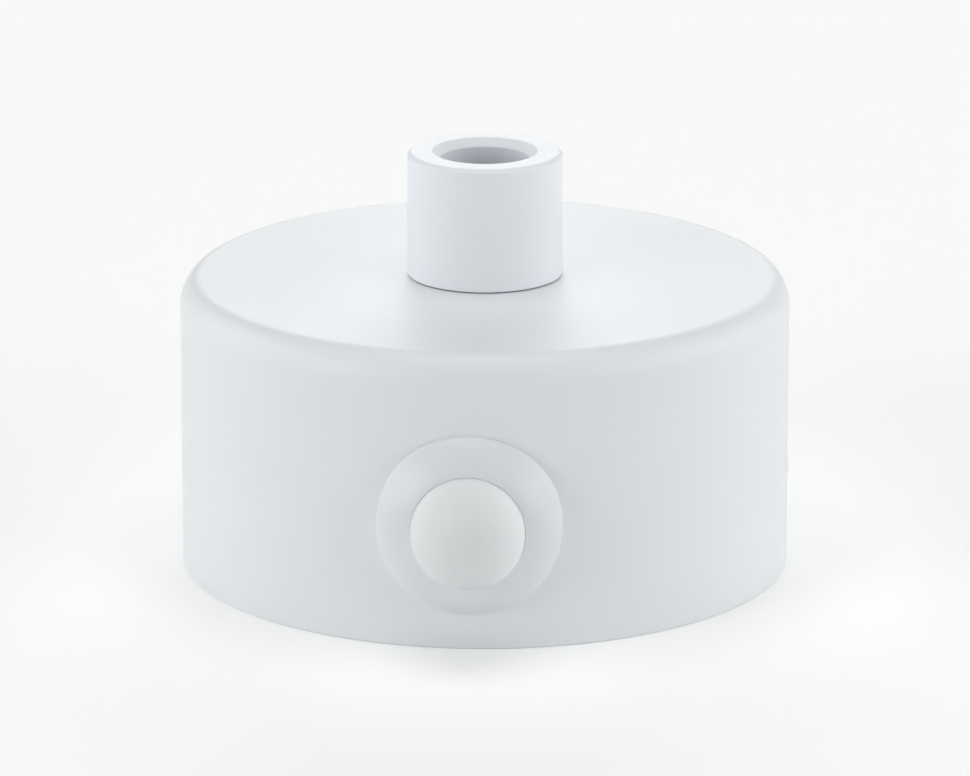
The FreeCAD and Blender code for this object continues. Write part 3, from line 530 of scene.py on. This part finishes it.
def on_switch(grid):
    """From the switch's own frame (x, up, out of the wall) to the rose's frame."""
    x, up, out = np.moveaxis(grid, -1, 0)
    return np.stack([x, WALL_Y - out, SWITCH_HEIGHT + up], axis=-1)


print(f"the switch stands out of the wall at y = {WALL_Y / MM:.1f} mm")

# %% Front of the bezel
BEZEL_RADIUS = housing_high.x
BEZEL_CROWN = WALL_Y - housing_low.y
BEZEL_RIM = 0.5 * MM
BEZEL_DOME = 8.0 * MM
RIM_ROUND = 0.5 * MM


def bezel_front(crown, rim):
    """The dome's arc from the crown towards the rim, and a small round that turns it into the rim.

    The round touches the arc and the rim from inside. Its centre therefore lies BEZEL_DOME - RIM_ROUND from
    the arc's centre and RIM_ROUND in from the rim, and it meets the arc where the line through both centres
    does.
    """
    middle = arc_centre(crown, rim, -BEZEL_DOME)
    between = BEZEL_DOME - RIM_ROUND
    ease_across = rim[0] - RIM_ROUND
    ease_out = middle[1] + math.sqrt(between ** 2 - (ease_across - middle[0]) ** 2)
    meet = middle + (np.array([ease_across, ease_out]) - middle) * BEZEL_DOME / between
    dome = bow(crown, meet, -BEZEL_DOME)
    edge = bow(meet, (rim[0], ease_out), -RIM_ROUND)
    return np.concatenate([dome, edge[1:]])


print(f"bezel {2 * BEZEL_RADIUS / MM:.1f} mm across, {BEZEL_CROWN / MM:.1f} mm out of the wall")

# %% Bezel and barrel
BARREL_RADIUS = 8.0 * MM
BARREL_END = WALL_Y - housing_high.y
BARREL_PITCH = 1.0 * MM
THREAD_START = -SHEET - 0.6 * MM
BUTTON_BORE = 5.98 * MM
HOLLOW_RADIUS = 6.85 * MM
SHOULDER = -5.0 * MM
BACK_POINTS = 8
HOUSING_SEGMENTS = 160


def all_round(line, segments):
    """The same line of values at every angle."""
    return np.broadcast_to(line, (segments, len(line)))


def housing_grid(segments):
    """Bezel and barrel as one skin: front turned, back set on the cup, barrel threaded, hollow plain."""
    angle = np.linspace(0, 2 * np.pi, segments, endpoint=False)[:, None]
    bore = rounded([
        (HOLLOW_RADIUS, SHOULDER, 0),
        (BUTTON_BORE, SHOULDER, PAINTED_EDGE),
        (BUTTON_BORE, BEZEL_CROWN, 0),
    ], closed=False)
    dome = bezel_front(bore[-1], np.array([BEZEL_RADIUS, BEZEL_RIM]))
    front_line = np.concatenate([bore, dome[1:]])
    front = all_round(front_line[:, 0], segments)
    front_out = all_round(front_line[:, 1], segments)

    back_line = np.linspace(BEZEL_RADIUS, BARREL_RADIUS, BACK_POINTS)
    back = all_round(back_line, segments)
    back_out = np.sqrt(CANOPY_RADIUS ** 2 - (back_line * np.cos(angle)) ** 2) - CANOPY_RADIUS

    count = int((THREAD_START - BARREL_END) / BARREL_PITCH * POINTS_PER_PITCH)
    along = np.linspace(THREAD_START, BARREL_END, count)
    barrel = BARREL_RADIUS - thread_dip(angle, along, BARREL_END, THREAD_START, BARREL_PITCH)
    barrel_out = all_round(along, segments)

    hollow_out = all_round(np.array([BARREL_END, BARREL_END + HOLD, SHOULDER - HOLD]), segments)
    hollow = np.full(hollow_out.shape, HOLLOW_RADIUS)

    radius = np.concatenate([front, back, barrel, hollow], axis=1)
    out = np.concatenate([front_out, back_out, barrel_out, hollow_out], axis=1)
    return np.stack([radius * np.cos(angle), radius * np.sin(angle), out], axis=-1)


housing = skin("switch_housing_skin", on_switch(housing_grid(HOUSING_SEGMENTS)))
install(housing, "switch_housing", "rose")

# %% [markdown]
# ## Button
# The button is one moulding: a dome, a straight skirt that slides in the barrel, a collar that stops it
# from falling out, and a stem with a pocket for its spring. A sphere and some cylinders could be joined,
# but one profile has no seams inside. The dome is an arc with its centre on the axis, so the open profile
# starts at the pole of the dome and ends at the pole of the pocket.

# %% Button
button_low, button_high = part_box("push_button")
BUTTON_RADIUS = 5.95 * MM
BUTTON_APEX = WALL_Y - button_low.y
BUTTON_EQUATOR = 3.1 * MM
RETAINER_RADIUS = button_high.x
RETAINER_FRONT = -5.05 * MM
RETAINER_BACK = -7.05 * MM
STEM_RADIUS = 3.4 * MM
NECK_RADIUS = 3.0 * MM
BRIDGE_SEAT = -10.05 * MM
STEM_END = WALL_Y - button_high.y
POCKET_RADIUS = 2.4 * MM
POCKET_END = STEM_END + 6.0 * MM
MOULDED_EDGE = 0.08 * MM
DOME_STEPS = 40
MOULDED_STEPS = 5
BUTTON_SEGMENTS = 128


def button_profile():
    """Dome from its pole by an arc centred on the axis, then skirt, collar, stem and pocket by corners.

    An arc through the rim at radius r with its pole at a height h above it has the radius
    (r^2 + h^2) / (2 h).
    """
    rise = BUTTON_APEX - BUTTON_EQUATOR
    dome_radius = (BUTTON_RADIUS ** 2 + rise ** 2) / (2 * rise)
    dome = bow((0, BUTTON_APEX), (BUTTON_RADIUS, BUTTON_EQUATOR), -dome_radius, DOME_STEPS)
    rest = rounded([
        (BUTTON_RADIUS, BUTTON_EQUATOR, 0),
        (BUTTON_RADIUS, RETAINER_FRONT, MOULDED_EDGE),
        (RETAINER_RADIUS, RETAINER_FRONT, MOULDED_EDGE),
        (RETAINER_RADIUS, RETAINER_BACK, MOULDED_EDGE),
        (STEM_RADIUS, RETAINER_BACK, MOULDED_EDGE),
        (STEM_RADIUS, BRIDGE_SEAT, MOULDED_EDGE),
        (NECK_RADIUS, BRIDGE_SEAT, MOULDED_EDGE),
        (NECK_RADIUS, STEM_END, MOULDED_EDGE),
        (POCKET_RADIUS, STEM_END, MOULDED_EDGE),
        (POCKET_RADIUS, POCKET_END, MOULDED_EDGE),
        (0, POCKET_END, 0),
    ], closed=False, arc_steps=MOULDED_STEPS)
    return np.concatenate([dome, rest[1:]])


button = skin("push_button_skin", on_switch(turned(button_profile(), BUTTON_SEGMENTS)), closed=False)
install(button, "push_button", "button")

# %% [markdown]
# ## Return spring
# A compression spring is a round wire carried along a helix, whose first and last turn lie close to their
# neighbours, so that it stands firm. A curve with a round bevel could be the wire, but would have to
# become a mesh afterwards. Here the wire's circle stands square to the helix, on its radial direction and
# the one across it, and each end closes in a point.

# %% Return spring
spring_low, spring_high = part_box("return_spring")
WIRE_RADIUS = 0.25 * MM
SPRING_RADIUS = spring_high.x - WIRE_RADIUS
SPRING_FOOT = WALL_Y - spring_high.y
SPRING_TOP = WALL_Y - spring_low.y
SPRING_TURNS = 9
CLOSED_TURN_TOP = 1.6
STEPS_PER_TURN = 40
WIRE_SIDES = 12


def spring_grid(low, high):
    """Circle of the wire carried along a helix: centre + wire * (cos v * radial + sin v * across)."""
    steps = SPRING_TURNS * STEPS_PER_TURN
    turns = np.linspace(0, 1, steps) * SPRING_TURNS
    lift = 2 * WIRE_RADIUS * CLOSED_TURN_TOP
    marks = [0, 1, SPRING_TURNS - 1, SPRING_TURNS]
    height = np.interp(turns, marks, [low + WIRE_RADIUS, low + lift, high - lift, high - WIRE_RADIUS])
    angle = 2 * np.pi * turns
    radial = np.stack([np.cos(angle), np.sin(angle), np.zeros(steps)], axis=1)
    centre = radial * SPRING_RADIUS + np.stack([np.zeros(steps), np.zeros(steps), height], axis=1)
    tangent = np.gradient(centre, axis=0)
    tangent /= np.linalg.norm(tangent, axis=1, keepdims=True)
    across = np.cross(tangent, radial)
    around = np.linspace(0, 2 * np.pi, WIRE_SIDES, endpoint=False)[:, None, None]
    tube = centre + WIRE_RADIUS * (np.cos(around) * radial + np.sin(around) * across)
    ends = np.broadcast_to(centre[[0, -1]], (WIRE_SIDES, 2, 3))
    return np.concatenate([ends[:, :1], tube, ends[:, 1:]], axis=1)


spring = skin("return_spring_skin", on_switch(spring_grid(SPRING_FOOT, SPRING_TOP)), closed=False)
install(spring, "return_spring", "rose")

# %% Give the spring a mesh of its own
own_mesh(spring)

# %% [markdown]
# ## Finishes
# Every finish starts the same way: one shader with its even values set on its own sockets, and Object
# coordinates for the patterns. Pictures of real paint and metal could be wrapped round the pieces, but
# noise needs no unwrapping and keeps its size on every piece. What varies over the surface, a little
# colour, a little gloss and the fine relief, comes from noise at the size that the real finish has.

# %% A finish and its noise
def new_finish(name, colour, roughness, metallic=0.0):
    """A material with one shader, its even values set on the shader's own sockets."""
    material = bpy.data.materials.new(name)
    material.use_nodes = True
    shader = material.node_tree.nodes["Principled BSDF"]
    shader.inputs["Base Color"].default_value = (*colour, 1.0)
    shader.inputs["Roughness"].default_value = roughness
    shader.inputs["Metallic"].default_value = metallic
    return material, shader


def noise(material, grain, detail=2.0, stretch=(1, 1, 1)):
    """Noise on Object coordinates whose grains are about the given size in metres."""
    nodes, links = material.node_tree.nodes, material.node_tree.links
    place = nodes.new("ShaderNodeTexCoord")
    mapping = nodes.new("ShaderNodeMapping")
    mapping.inputs["Scale"].default_value = stretch
    texture = nodes.new("ShaderNodeTexNoise")
    texture.inputs["Scale"].default_value = 1.0 / grain
    texture.inputs["Detail"].default_value = detail
    links.new(place.outputs["Object"], mapping.inputs["Vector"])
    links.new(mapping.outputs["Vector"], texture.inputs["Vector"])
    return texture


finishes = {}
print("pieces that wait for a finish:", len(SLOT_OF))

# %% What the noise changes
NOISE_LOW = 0.3
NOISE_HIGH = 0.7


def scaled(colour, factor):
    """A colour made a little darker or lighter."""
    return tuple(min(1.0, channel * factor) for channel in colour)


def vary_colour(material, shader, texture, colour, darker, lighter):
    """Base colour between two factors of a colour, by a texture."""
    nodes, links = material.node_tree.nodes, material.node_tree.links
    ramp = nodes.new("ShaderNodeValToRGB")
    ramp.color_ramp.elements[0].position = NOISE_LOW
    ramp.color_ramp.elements[1].position = NOISE_HIGH
    ramp.color_ramp.elements[0].color = (*scaled(colour, darker), 1.0)
    ramp.color_ramp.elements[1].color = (*scaled(colour, lighter), 1.0)
    links.new(texture.outputs["Fac"], ramp.inputs["Fac"])
    links.new(ramp.outputs["Color"], shader.inputs["Base Color"])


def vary_roughness(material, shader, texture, low, high):
    """Roughness between two values by a texture."""
    nodes, links = material.node_tree.nodes, material.node_tree.links
    spread = nodes.new("ShaderNodeMapRange")
    spread.inputs["From Min"].default_value = NOISE_LOW
    spread.inputs["From Max"].default_value = NOISE_HIGH
    spread.inputs["To Min"].default_value = low
    spread.inputs["To Max"].default_value = high
    links.new(texture.outputs["Fac"], spread.inputs["Value"])
    links.new(spread.outputs["Result"], shader.inputs["Roughness"])


def relief(material, shader, texture, height):
    """Bump of a real height in metres from a texture."""
    nodes, links = material.node_tree.nodes, material.node_tree.links
    bump = nodes.new("ShaderNodeBump")
    bump.inputs["Strength"].default_value = 1.0
    bump.inputs["Distance"].default_value = height
    links.new(texture.outputs["Fac"], bump.inputs["Height"])
    links.new(bump.outputs["Normal"], shader.inputs["Normal"])


print(f"noise counts between {NOISE_LOW} and {NOISE_HIGH}")

# %% [markdown]
# ## Paint
# The cup is powder coated: a satin cool white with a very slight orange peel. The collar has a thinner,
# slightly bluer enamel, so its edges stay crisper. One even shader could be white too, but the peel is
# what breaks up a highlight as real paint does. Tone and gloss change so little that they are felt, not
# seen.

# %% Paint
CANOPY_WHITE = (0.84, 0.878, 0.893)
COLLAR_WHITE = (0.872, 0.902, 0.942)
COAT_PATCH = 9 * MM
COAT_GLOSS_PATCH = 2.5 * MM
COAT_TONE = 0.005
COAT_GLOSS = 0.01


def satin_coat(name, colour, roughness, peel_size, peel_height):
    """Powder coat or enamel: orange peel relief, faint tone and gloss changes."""
    material, shader = new_finish(name, colour, roughness)
    vary_colour(material, shader, noise(material, COAT_PATCH), colour, 1 - COAT_TONE, 1 + COAT_TONE)
    gloss = noise(material, COAT_GLOSS_PATCH)
    vary_roughness(material, shader, gloss, roughness - COAT_GLOSS, roughness + COAT_GLOSS)
    relief(material, shader, noise(material, peel_size, detail=3.0), peel_height)
    return material


finishes["canopy_paint"] = satin_coat(
    "canopy_powder_coat", CANOPY_WHITE, roughness=0.46, peel_size=0.9 * MM, peel_height=0.004 * MM,
)
finishes["collar_paint"] = satin_coat(
    "collar_enamel", COLLAR_WHITE, roughness=0.42, peel_size=0.5 * MM, peel_height=0.002 * MM,
)
print("finishes so far:", len(finishes))

# %% [markdown]
# ## White mouldings
# The bezel is moulded in a white that matches the cup, and the button in a warmer white that lets a
# little light in. The terminal strip is natural nylon, which is yellower. The paint's shader would look
# too hard for plastic, so they get a fine eroded grain instead, and some light under the surface.

# %% White mouldings
BEZEL_WHITE = (0.79, 0.835, 0.855)
BUTTON_WHITE = (0.785, 0.83, 0.83)
NATURAL_NYLON = (0.78, 0.77, 0.69)
LIGHT_REACH = (1.2 * MM, 1.0 * MM, 0.8 * MM)
FLOW_PATCH = 5 * MM
FLOW_GLOSS_PATCH = 2 * MM
FLOW_GLOSS = 0.03
ERODED_GRAIN = 0.18 * MM
ERODED_HEIGHT = 0.004 * MM


def white_moulding(name, colour, roughness, depth, shine=0.5):
    """Moulded plastic: spark-eroded grain and a little light inside."""
    material, shader = new_finish(name, colour, roughness)
    shader.inputs["Specular IOR Level"].default_value = shine
    shader.inputs["Subsurface Weight"].default_value = depth
    shader.inputs["Subsurface Radius"].default_value = LIGHT_REACH
    shader.inputs["Subsurface Scale"].default_value = 1.0
    vary_colour(material, shader, noise(material, FLOW_PATCH), colour, darker=0.985, lighter=1.01)
    gloss = noise(material, FLOW_GLOSS_PATCH)
    vary_roughness(material, shader, gloss, roughness - FLOW_GLOSS, roughness + FLOW_GLOSS)
    relief(material, shader, noise(material, ERODED_GRAIN), ERODED_HEIGHT)
    return material


finishes["bezel_plastic"] = white_moulding("bezel_moulding", BEZEL_WHITE, roughness=0.38, depth=0.05)
finishes["button_plastic"] = white_moulding(
    "button_moulding", BUTTON_WHITE, roughness=0.55, depth=0.3, shine=0.3,
)
finishes["block_nylon"] = white_moulding("block_nylon", NATURAL_NYLON, roughness=0.4, depth=0.3)
print("finishes so far:", len(finishes))

# %% [markdown]
# ## Plated and bare metals
# The hidden hardware is plated steel, brass, silver and spring wire. All of it is drawn, turned or
# pressed, and the tool leaves fine streaks. An anisotropic shader could show them too, but it needs a
# direction at every point. Noise stretched along one axis shows them with Object coordinates alone.

# %% Plated and bare metals
BRIGHT_ZINC = (0.66, 0.68, 0.70)
SET_SCREW_ZINC = (0.60, 0.61, 0.63)
CLAMP_SCREW_ZINC = (0.64, 0.63, 0.58)
SPRING_GREY = (0.52, 0.53, 0.56)
SLEEVE_BRASS = (0.80, 0.60, 0.29)
BLADE_BRASS = (0.76, 0.59, 0.32)
CONTACT_SILVER = (0.82, 0.81, 0.78)
EVEN = (1, 1, 1)
ALONG_X = (0.08, 1, 1)
ALONG_Y = (1, 0.08, 1)
ALONG_Z = (1, 1, 0.08)
STREAK_WIDTH = 0.5 * MM
STREAK_HEIGHT = 0.003 * MM
PLATED_PATCH = 3 * MM
DULLER = 0.1
BRIGHTER = 0.08


def plated(name, colour, roughness, streak):
    """Plated or drawn metal: fine streaks in gloss and relief, broad patches in tone."""
    material, shader = new_finish(name, colour, roughness, metallic=1.0)
    streaks = noise(material, STREAK_WIDTH, detail=4.0, stretch=streak)
    vary_colour(material, shader, noise(material, PLATED_PATCH), colour, darker=0.92, lighter=1.05)
    vary_roughness(material, shader, streaks, roughness - BRIGHTER, roughness + DULLER)
    relief(material, shader, streaks, STREAK_HEIGHT)
    return material


finishes["zinc_steel"] = plated("bright_zinc", BRIGHT_ZINC, roughness=0.3, streak=EVEN)
finishes["screw_steel"] = plated("set_screw_zinc", SET_SCREW_ZINC, roughness=0.32, streak=ALONG_X)
finishes["clamp_steel"] = plated("clamp_screw_zinc", CLAMP_SCREW_ZINC, roughness=0.34, streak=ALONG_Z)
finishes["spring_steel"] = plated("spring_wire", SPRING_GREY, roughness=0.28, streak=EVEN)
finishes["terminal_brass"] = plated("terminal_brass", SLEEVE_BRASS, roughness=0.3, streak=ALONG_Y)
finishes["blade_brass"] = plated("blade_brass", BLADE_BRASS, roughness=0.34, streak=ALONG_Y)
finishes["contact_silver"] = plated("contact_silver", CONTACT_SILVER, roughness=0.25, streak=EVEN)
print("finishes so far:", len(finishes))

# %% [markdown]
# ## Galvanised sheet
# The bracket is cut from zinc-coated sheet, which shows pale flowers where the zinc set. Plain noise has
# no edges, and a flower has, so the tone comes from Voronoi cells of a few millimetres.

# %% Galvanised sheet
SHEET_ZINC = (0.64, 0.66, 0.675)
FLOWER_SIZE = 3.2 * MM
DARK_FLOWER = 0.86
PALE_FLOWER = 1.08
ZINC_GLOSS_PATCH = 2.5 * MM
ZINC_GLOSS = 0.05
ZINC_GRAIN = 0.4 * MM
ZINC_HEIGHT = 0.001 * MM


def galvanised(name, colour, roughness):
    """Zinc-coated sheet: pale crystals of a few millimetres in tone, soft patches in gloss."""
    material, shader = new_finish(name, colour, roughness, metallic=1.0)
    nodes, links = material.node_tree.nodes, material.node_tree.links
    place = nodes.new("ShaderNodeTexCoord")
    crystals = nodes.new("ShaderNodeTexVoronoi")
    crystals.inputs["Scale"].default_value = 1.0 / FLOWER_SIZE
    tone = nodes.new("ShaderNodeRGBToBW")
    ramp = nodes.new("ShaderNodeValToRGB")
    ramp.color_ramp.elements[0].color = (*scaled(colour, DARK_FLOWER), 1.0)
    ramp.color_ramp.elements[1].color = (*scaled(colour, PALE_FLOWER), 1.0)
    links.new(place.outputs["Object"], crystals.inputs["Vector"])
    links.new(crystals.outputs["Color"], tone.inputs["Color"])
    links.new(tone.outputs["Val"], ramp.inputs["Fac"])
    links.new(ramp.outputs["Color"], shader.inputs["Base Color"])
    gloss = noise(material, ZINC_GLOSS_PATCH)
    vary_roughness(material, shader, gloss, roughness - ZINC_GLOSS, roughness + ZINC_GLOSS)
    relief(material, shader, noise(material, ZINC_GRAIN, detail=3.0), ZINC_HEIGHT)
    return material


finishes["bracket_zinc"] = galvanised("galvanised_sheet", SHEET_ZINC, roughness=0.38)
print("finishes so far:", len(finishes))

# %% [markdown]
# ## Dark plastics and rubber
# The nut is black nylon, the switch base a dark brown moulding, and the thin gasket under the collar dull
# dark grey rubber, whose dark colour also paints the shadow line in the seam between collar and cup.
# They hide in shadow, so a flat dark colour would nearly do, but a fine grain gives them small glints
# when the rose is turned over.

# %% Dark plastics and rubber
BLACK_NYLON = (0.028, 0.028, 0.031)
BASE_BROWN = (0.085, 0.055, 0.04)
# Dark grey of the thin gasket under the collar: partly the rubber's own colour, partly painted shade that
# draws the dark shadow line at the seam.
GASKET_GREY_AND_SEAM_SHADE = (0.09, 0.09, 0.095)
DARK_PATCH = 6 * MM
DARK_GLOSS_PATCH = 1.5 * MM
DARK_GLOSS = 0.06


def dark_moulding(name, colour, roughness, grain, height):
    """Plain moulding with an even grain and faint flow marks."""
    material, shader = new_finish(name, colour, roughness)
    vary_colour(material, shader, noise(material, DARK_PATCH), colour, darker=0.9, lighter=1.1)
    gloss = noise(material, DARK_GLOSS_PATCH)
    vary_roughness(material, shader, gloss, roughness - DARK_GLOSS, roughness + DARK_GLOSS)
    relief(material, shader, noise(material, grain, detail=3.0), height)
    return material


finishes["nut_plastic"] = dark_moulding(
    "nut_nylon", BLACK_NYLON, roughness=0.42, grain=0.3 * MM, height=0.006 * MM,
)
finishes["base_plastic"] = dark_moulding(
    "base_moulding", BASE_BROWN, roughness=0.4, grain=0.25 * MM, height=0.004 * MM,
)
# The gasket's dark colour is partly painted shade: it makes the shadow line where the collar meets the cup.
finishes["gasket_rubber"] = dark_moulding(
    "gasket_rubber", GASKET_GREY_AND_SEAM_SHADE, roughness=0.7, grain=0.2 * MM, height=0.01 * MM,
)
print("finishes so far:", len(finishes))

# %% [markdown]
# ## Every piece gets its finish
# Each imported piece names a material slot, and the finishes are kept under the same names. Materials could
# be given piece by piece, but a loop over the slots can't forget one. The new skins come in without any,
# so they get theirs by the node that they replace.

# %% Give every piece its finish
for node_name, node in frame["nodes"].items():
    finish = finishes[SLOT_OF[node_name]]
    for material_slot in node.material_slots:
        material_slot.material = finish
new_pieces = {
    "canopy": canopy,
    "outlet_collar": collar,
    "threaded_nipple": nipple,
    "switch_housing": housing,
    "push_button": button,
    "return_spring": spring,
}
for node_name, piece in new_pieces.items():
    piece.data.materials.clear()
    piece.data.materials.append(finishes[SLOT_OF[node_name]])
print("finishes:", len(finishes))

# %% [markdown]
# ## Table
# The rose stands on a pale, plain table. More light would turn the table white, but the rose too. So the
# table gets a little light of its own, only where the camera or a reflection sees it, or where it would
# show through a clear piece. That makes it the white of a product page and still keeps the shadow.

# %% Table
TABLE_HALF = 3.0
TABLE_WHITE = (0.9, 0.9, 0.9)
TABLE_ROUGHNESS = 0.9
table_mesh = bpy.data.meshes.new("table")
table_corners = [(-TABLE_HALF, -TABLE_HALF, 0), (TABLE_HALF, -TABLE_HALF, 0)]
table_corners += [(TABLE_HALF, TABLE_HALF, 0), (-TABLE_HALF, TABLE_HALF, 0)]
table_mesh.from_pydata(table_corners, [], [(0, 1, 2, 3)])
table = bpy.data.objects.new("table", table_mesh)
bpy.context.scene.collection.objects.link(table)
table_finish, table_shader = new_finish("table_top", TABLE_WHITE, TABLE_ROUGHNESS)
table_shader.inputs["Specular IOR Level"].default_value = 0.0
table_mesh.materials.append(table_finish)
print(f"table {2 * TABLE_HALF:.0f} m wide")

# %% Light of the table's own
TABLE_GLOW = 0.2
table_shader.inputs["Emission Color"].default_value = (1, 1, 1, 1)
table_nodes, table_links = table_finish.node_tree.nodes, table_finish.node_tree.links
ray = table_nodes.new("ShaderNodeLightPath")
seen = ray.outputs["Is Camera Ray"]
for way in ("Is Glossy Ray", "Is Transmission Ray"):
    either = table_nodes.new("ShaderNodeMath")
    either.operation = "MAXIMUM"
    table_links.new(seen, either.inputs[0])
    table_links.new(ray.outputs[way], either.inputs[1])
    seen = either.outputs[0]
glow = table_nodes.new("ShaderNodeMath")
glow.operation = "MULTIPLY"
glow.inputs[1].default_value = TABLE_GLOW
table_links.new(seen, glow.inputs[0])
table_links.new(glow.outputs[0], table_shader.inputs["Emission Strength"])
print("glow of the table where it is seen:", TABLE_GLOW)

# %% [markdown]
# ## Light
# A small white product is lit from all round, because only soft changes of tone show the form of white
# paint. A picture of a studio could light it, but panels can be set one by one. The long ones at both
# sides make the flanks of the wall brighter than its front, and two smaller ones in front light the
# button. The one behind stands where the satin end face mirrors it, so that the collar shows there as a
# soft dark streak, and the one above lights the end face and the table.

# %% Light
ROOM_LEVEL = 0.05
room = bpy.data.worlds.new("room")
room.use_nodes = True
room.node_tree.nodes["Background"].inputs["Color"].default_value = (1, 1, 1, 1)
room.node_tree.nodes["Background"].inputs["Strength"].default_value = ROOM_LEVEL
bpy.context.scene.world = room


def softbox(name, place, width, height, power):
    """A panel of light that faces the rose and isn't seen by the camera."""
    data = bpy.data.lights.new(name, "AREA")
    data.shape = "RECTANGLE"
    data.size = width
    data.size_y = height
    data.energy = power
    panel = bpy.data.objects.new(name, data)
    panel.location = place
    panel.rotation_mode = "QUATERNION"
    panel.rotation_quaternion = (LOOK_AT - Vector(place)).to_track_quat("-Z", "Y")
    panel.visible_camera = False
    bpy.context.scene.collection.objects.link(panel)
    print(f"{name}: {power} W")


softbox("left_panel", place=(-1.5, -0.1, 0.45), width=2.8, height=1.0, power=13.9)
softbox("right_panel", place=(1.5, -0.1, 0.45), width=2.8, height=1.0, power=17.8)
softbox("left_front_panel", place=(-1.15, -1.1, 0.5), width=0.9, height=0.9, power=5.2)
softbox("right_front_panel", place=(1.15, -1.1, 0.5), width=0.9, height=0.9, power=1.8)
softbox("top_panel", place=(0, 0, 1.7), width=1.4, height=1.4, power=12.8)
softbox("back_panel", place=(0, 1.8, 0.8), width=1.2, height=0.7, power=9.8)
bpy.context.scene.view_settings.view_transform = "Standard"
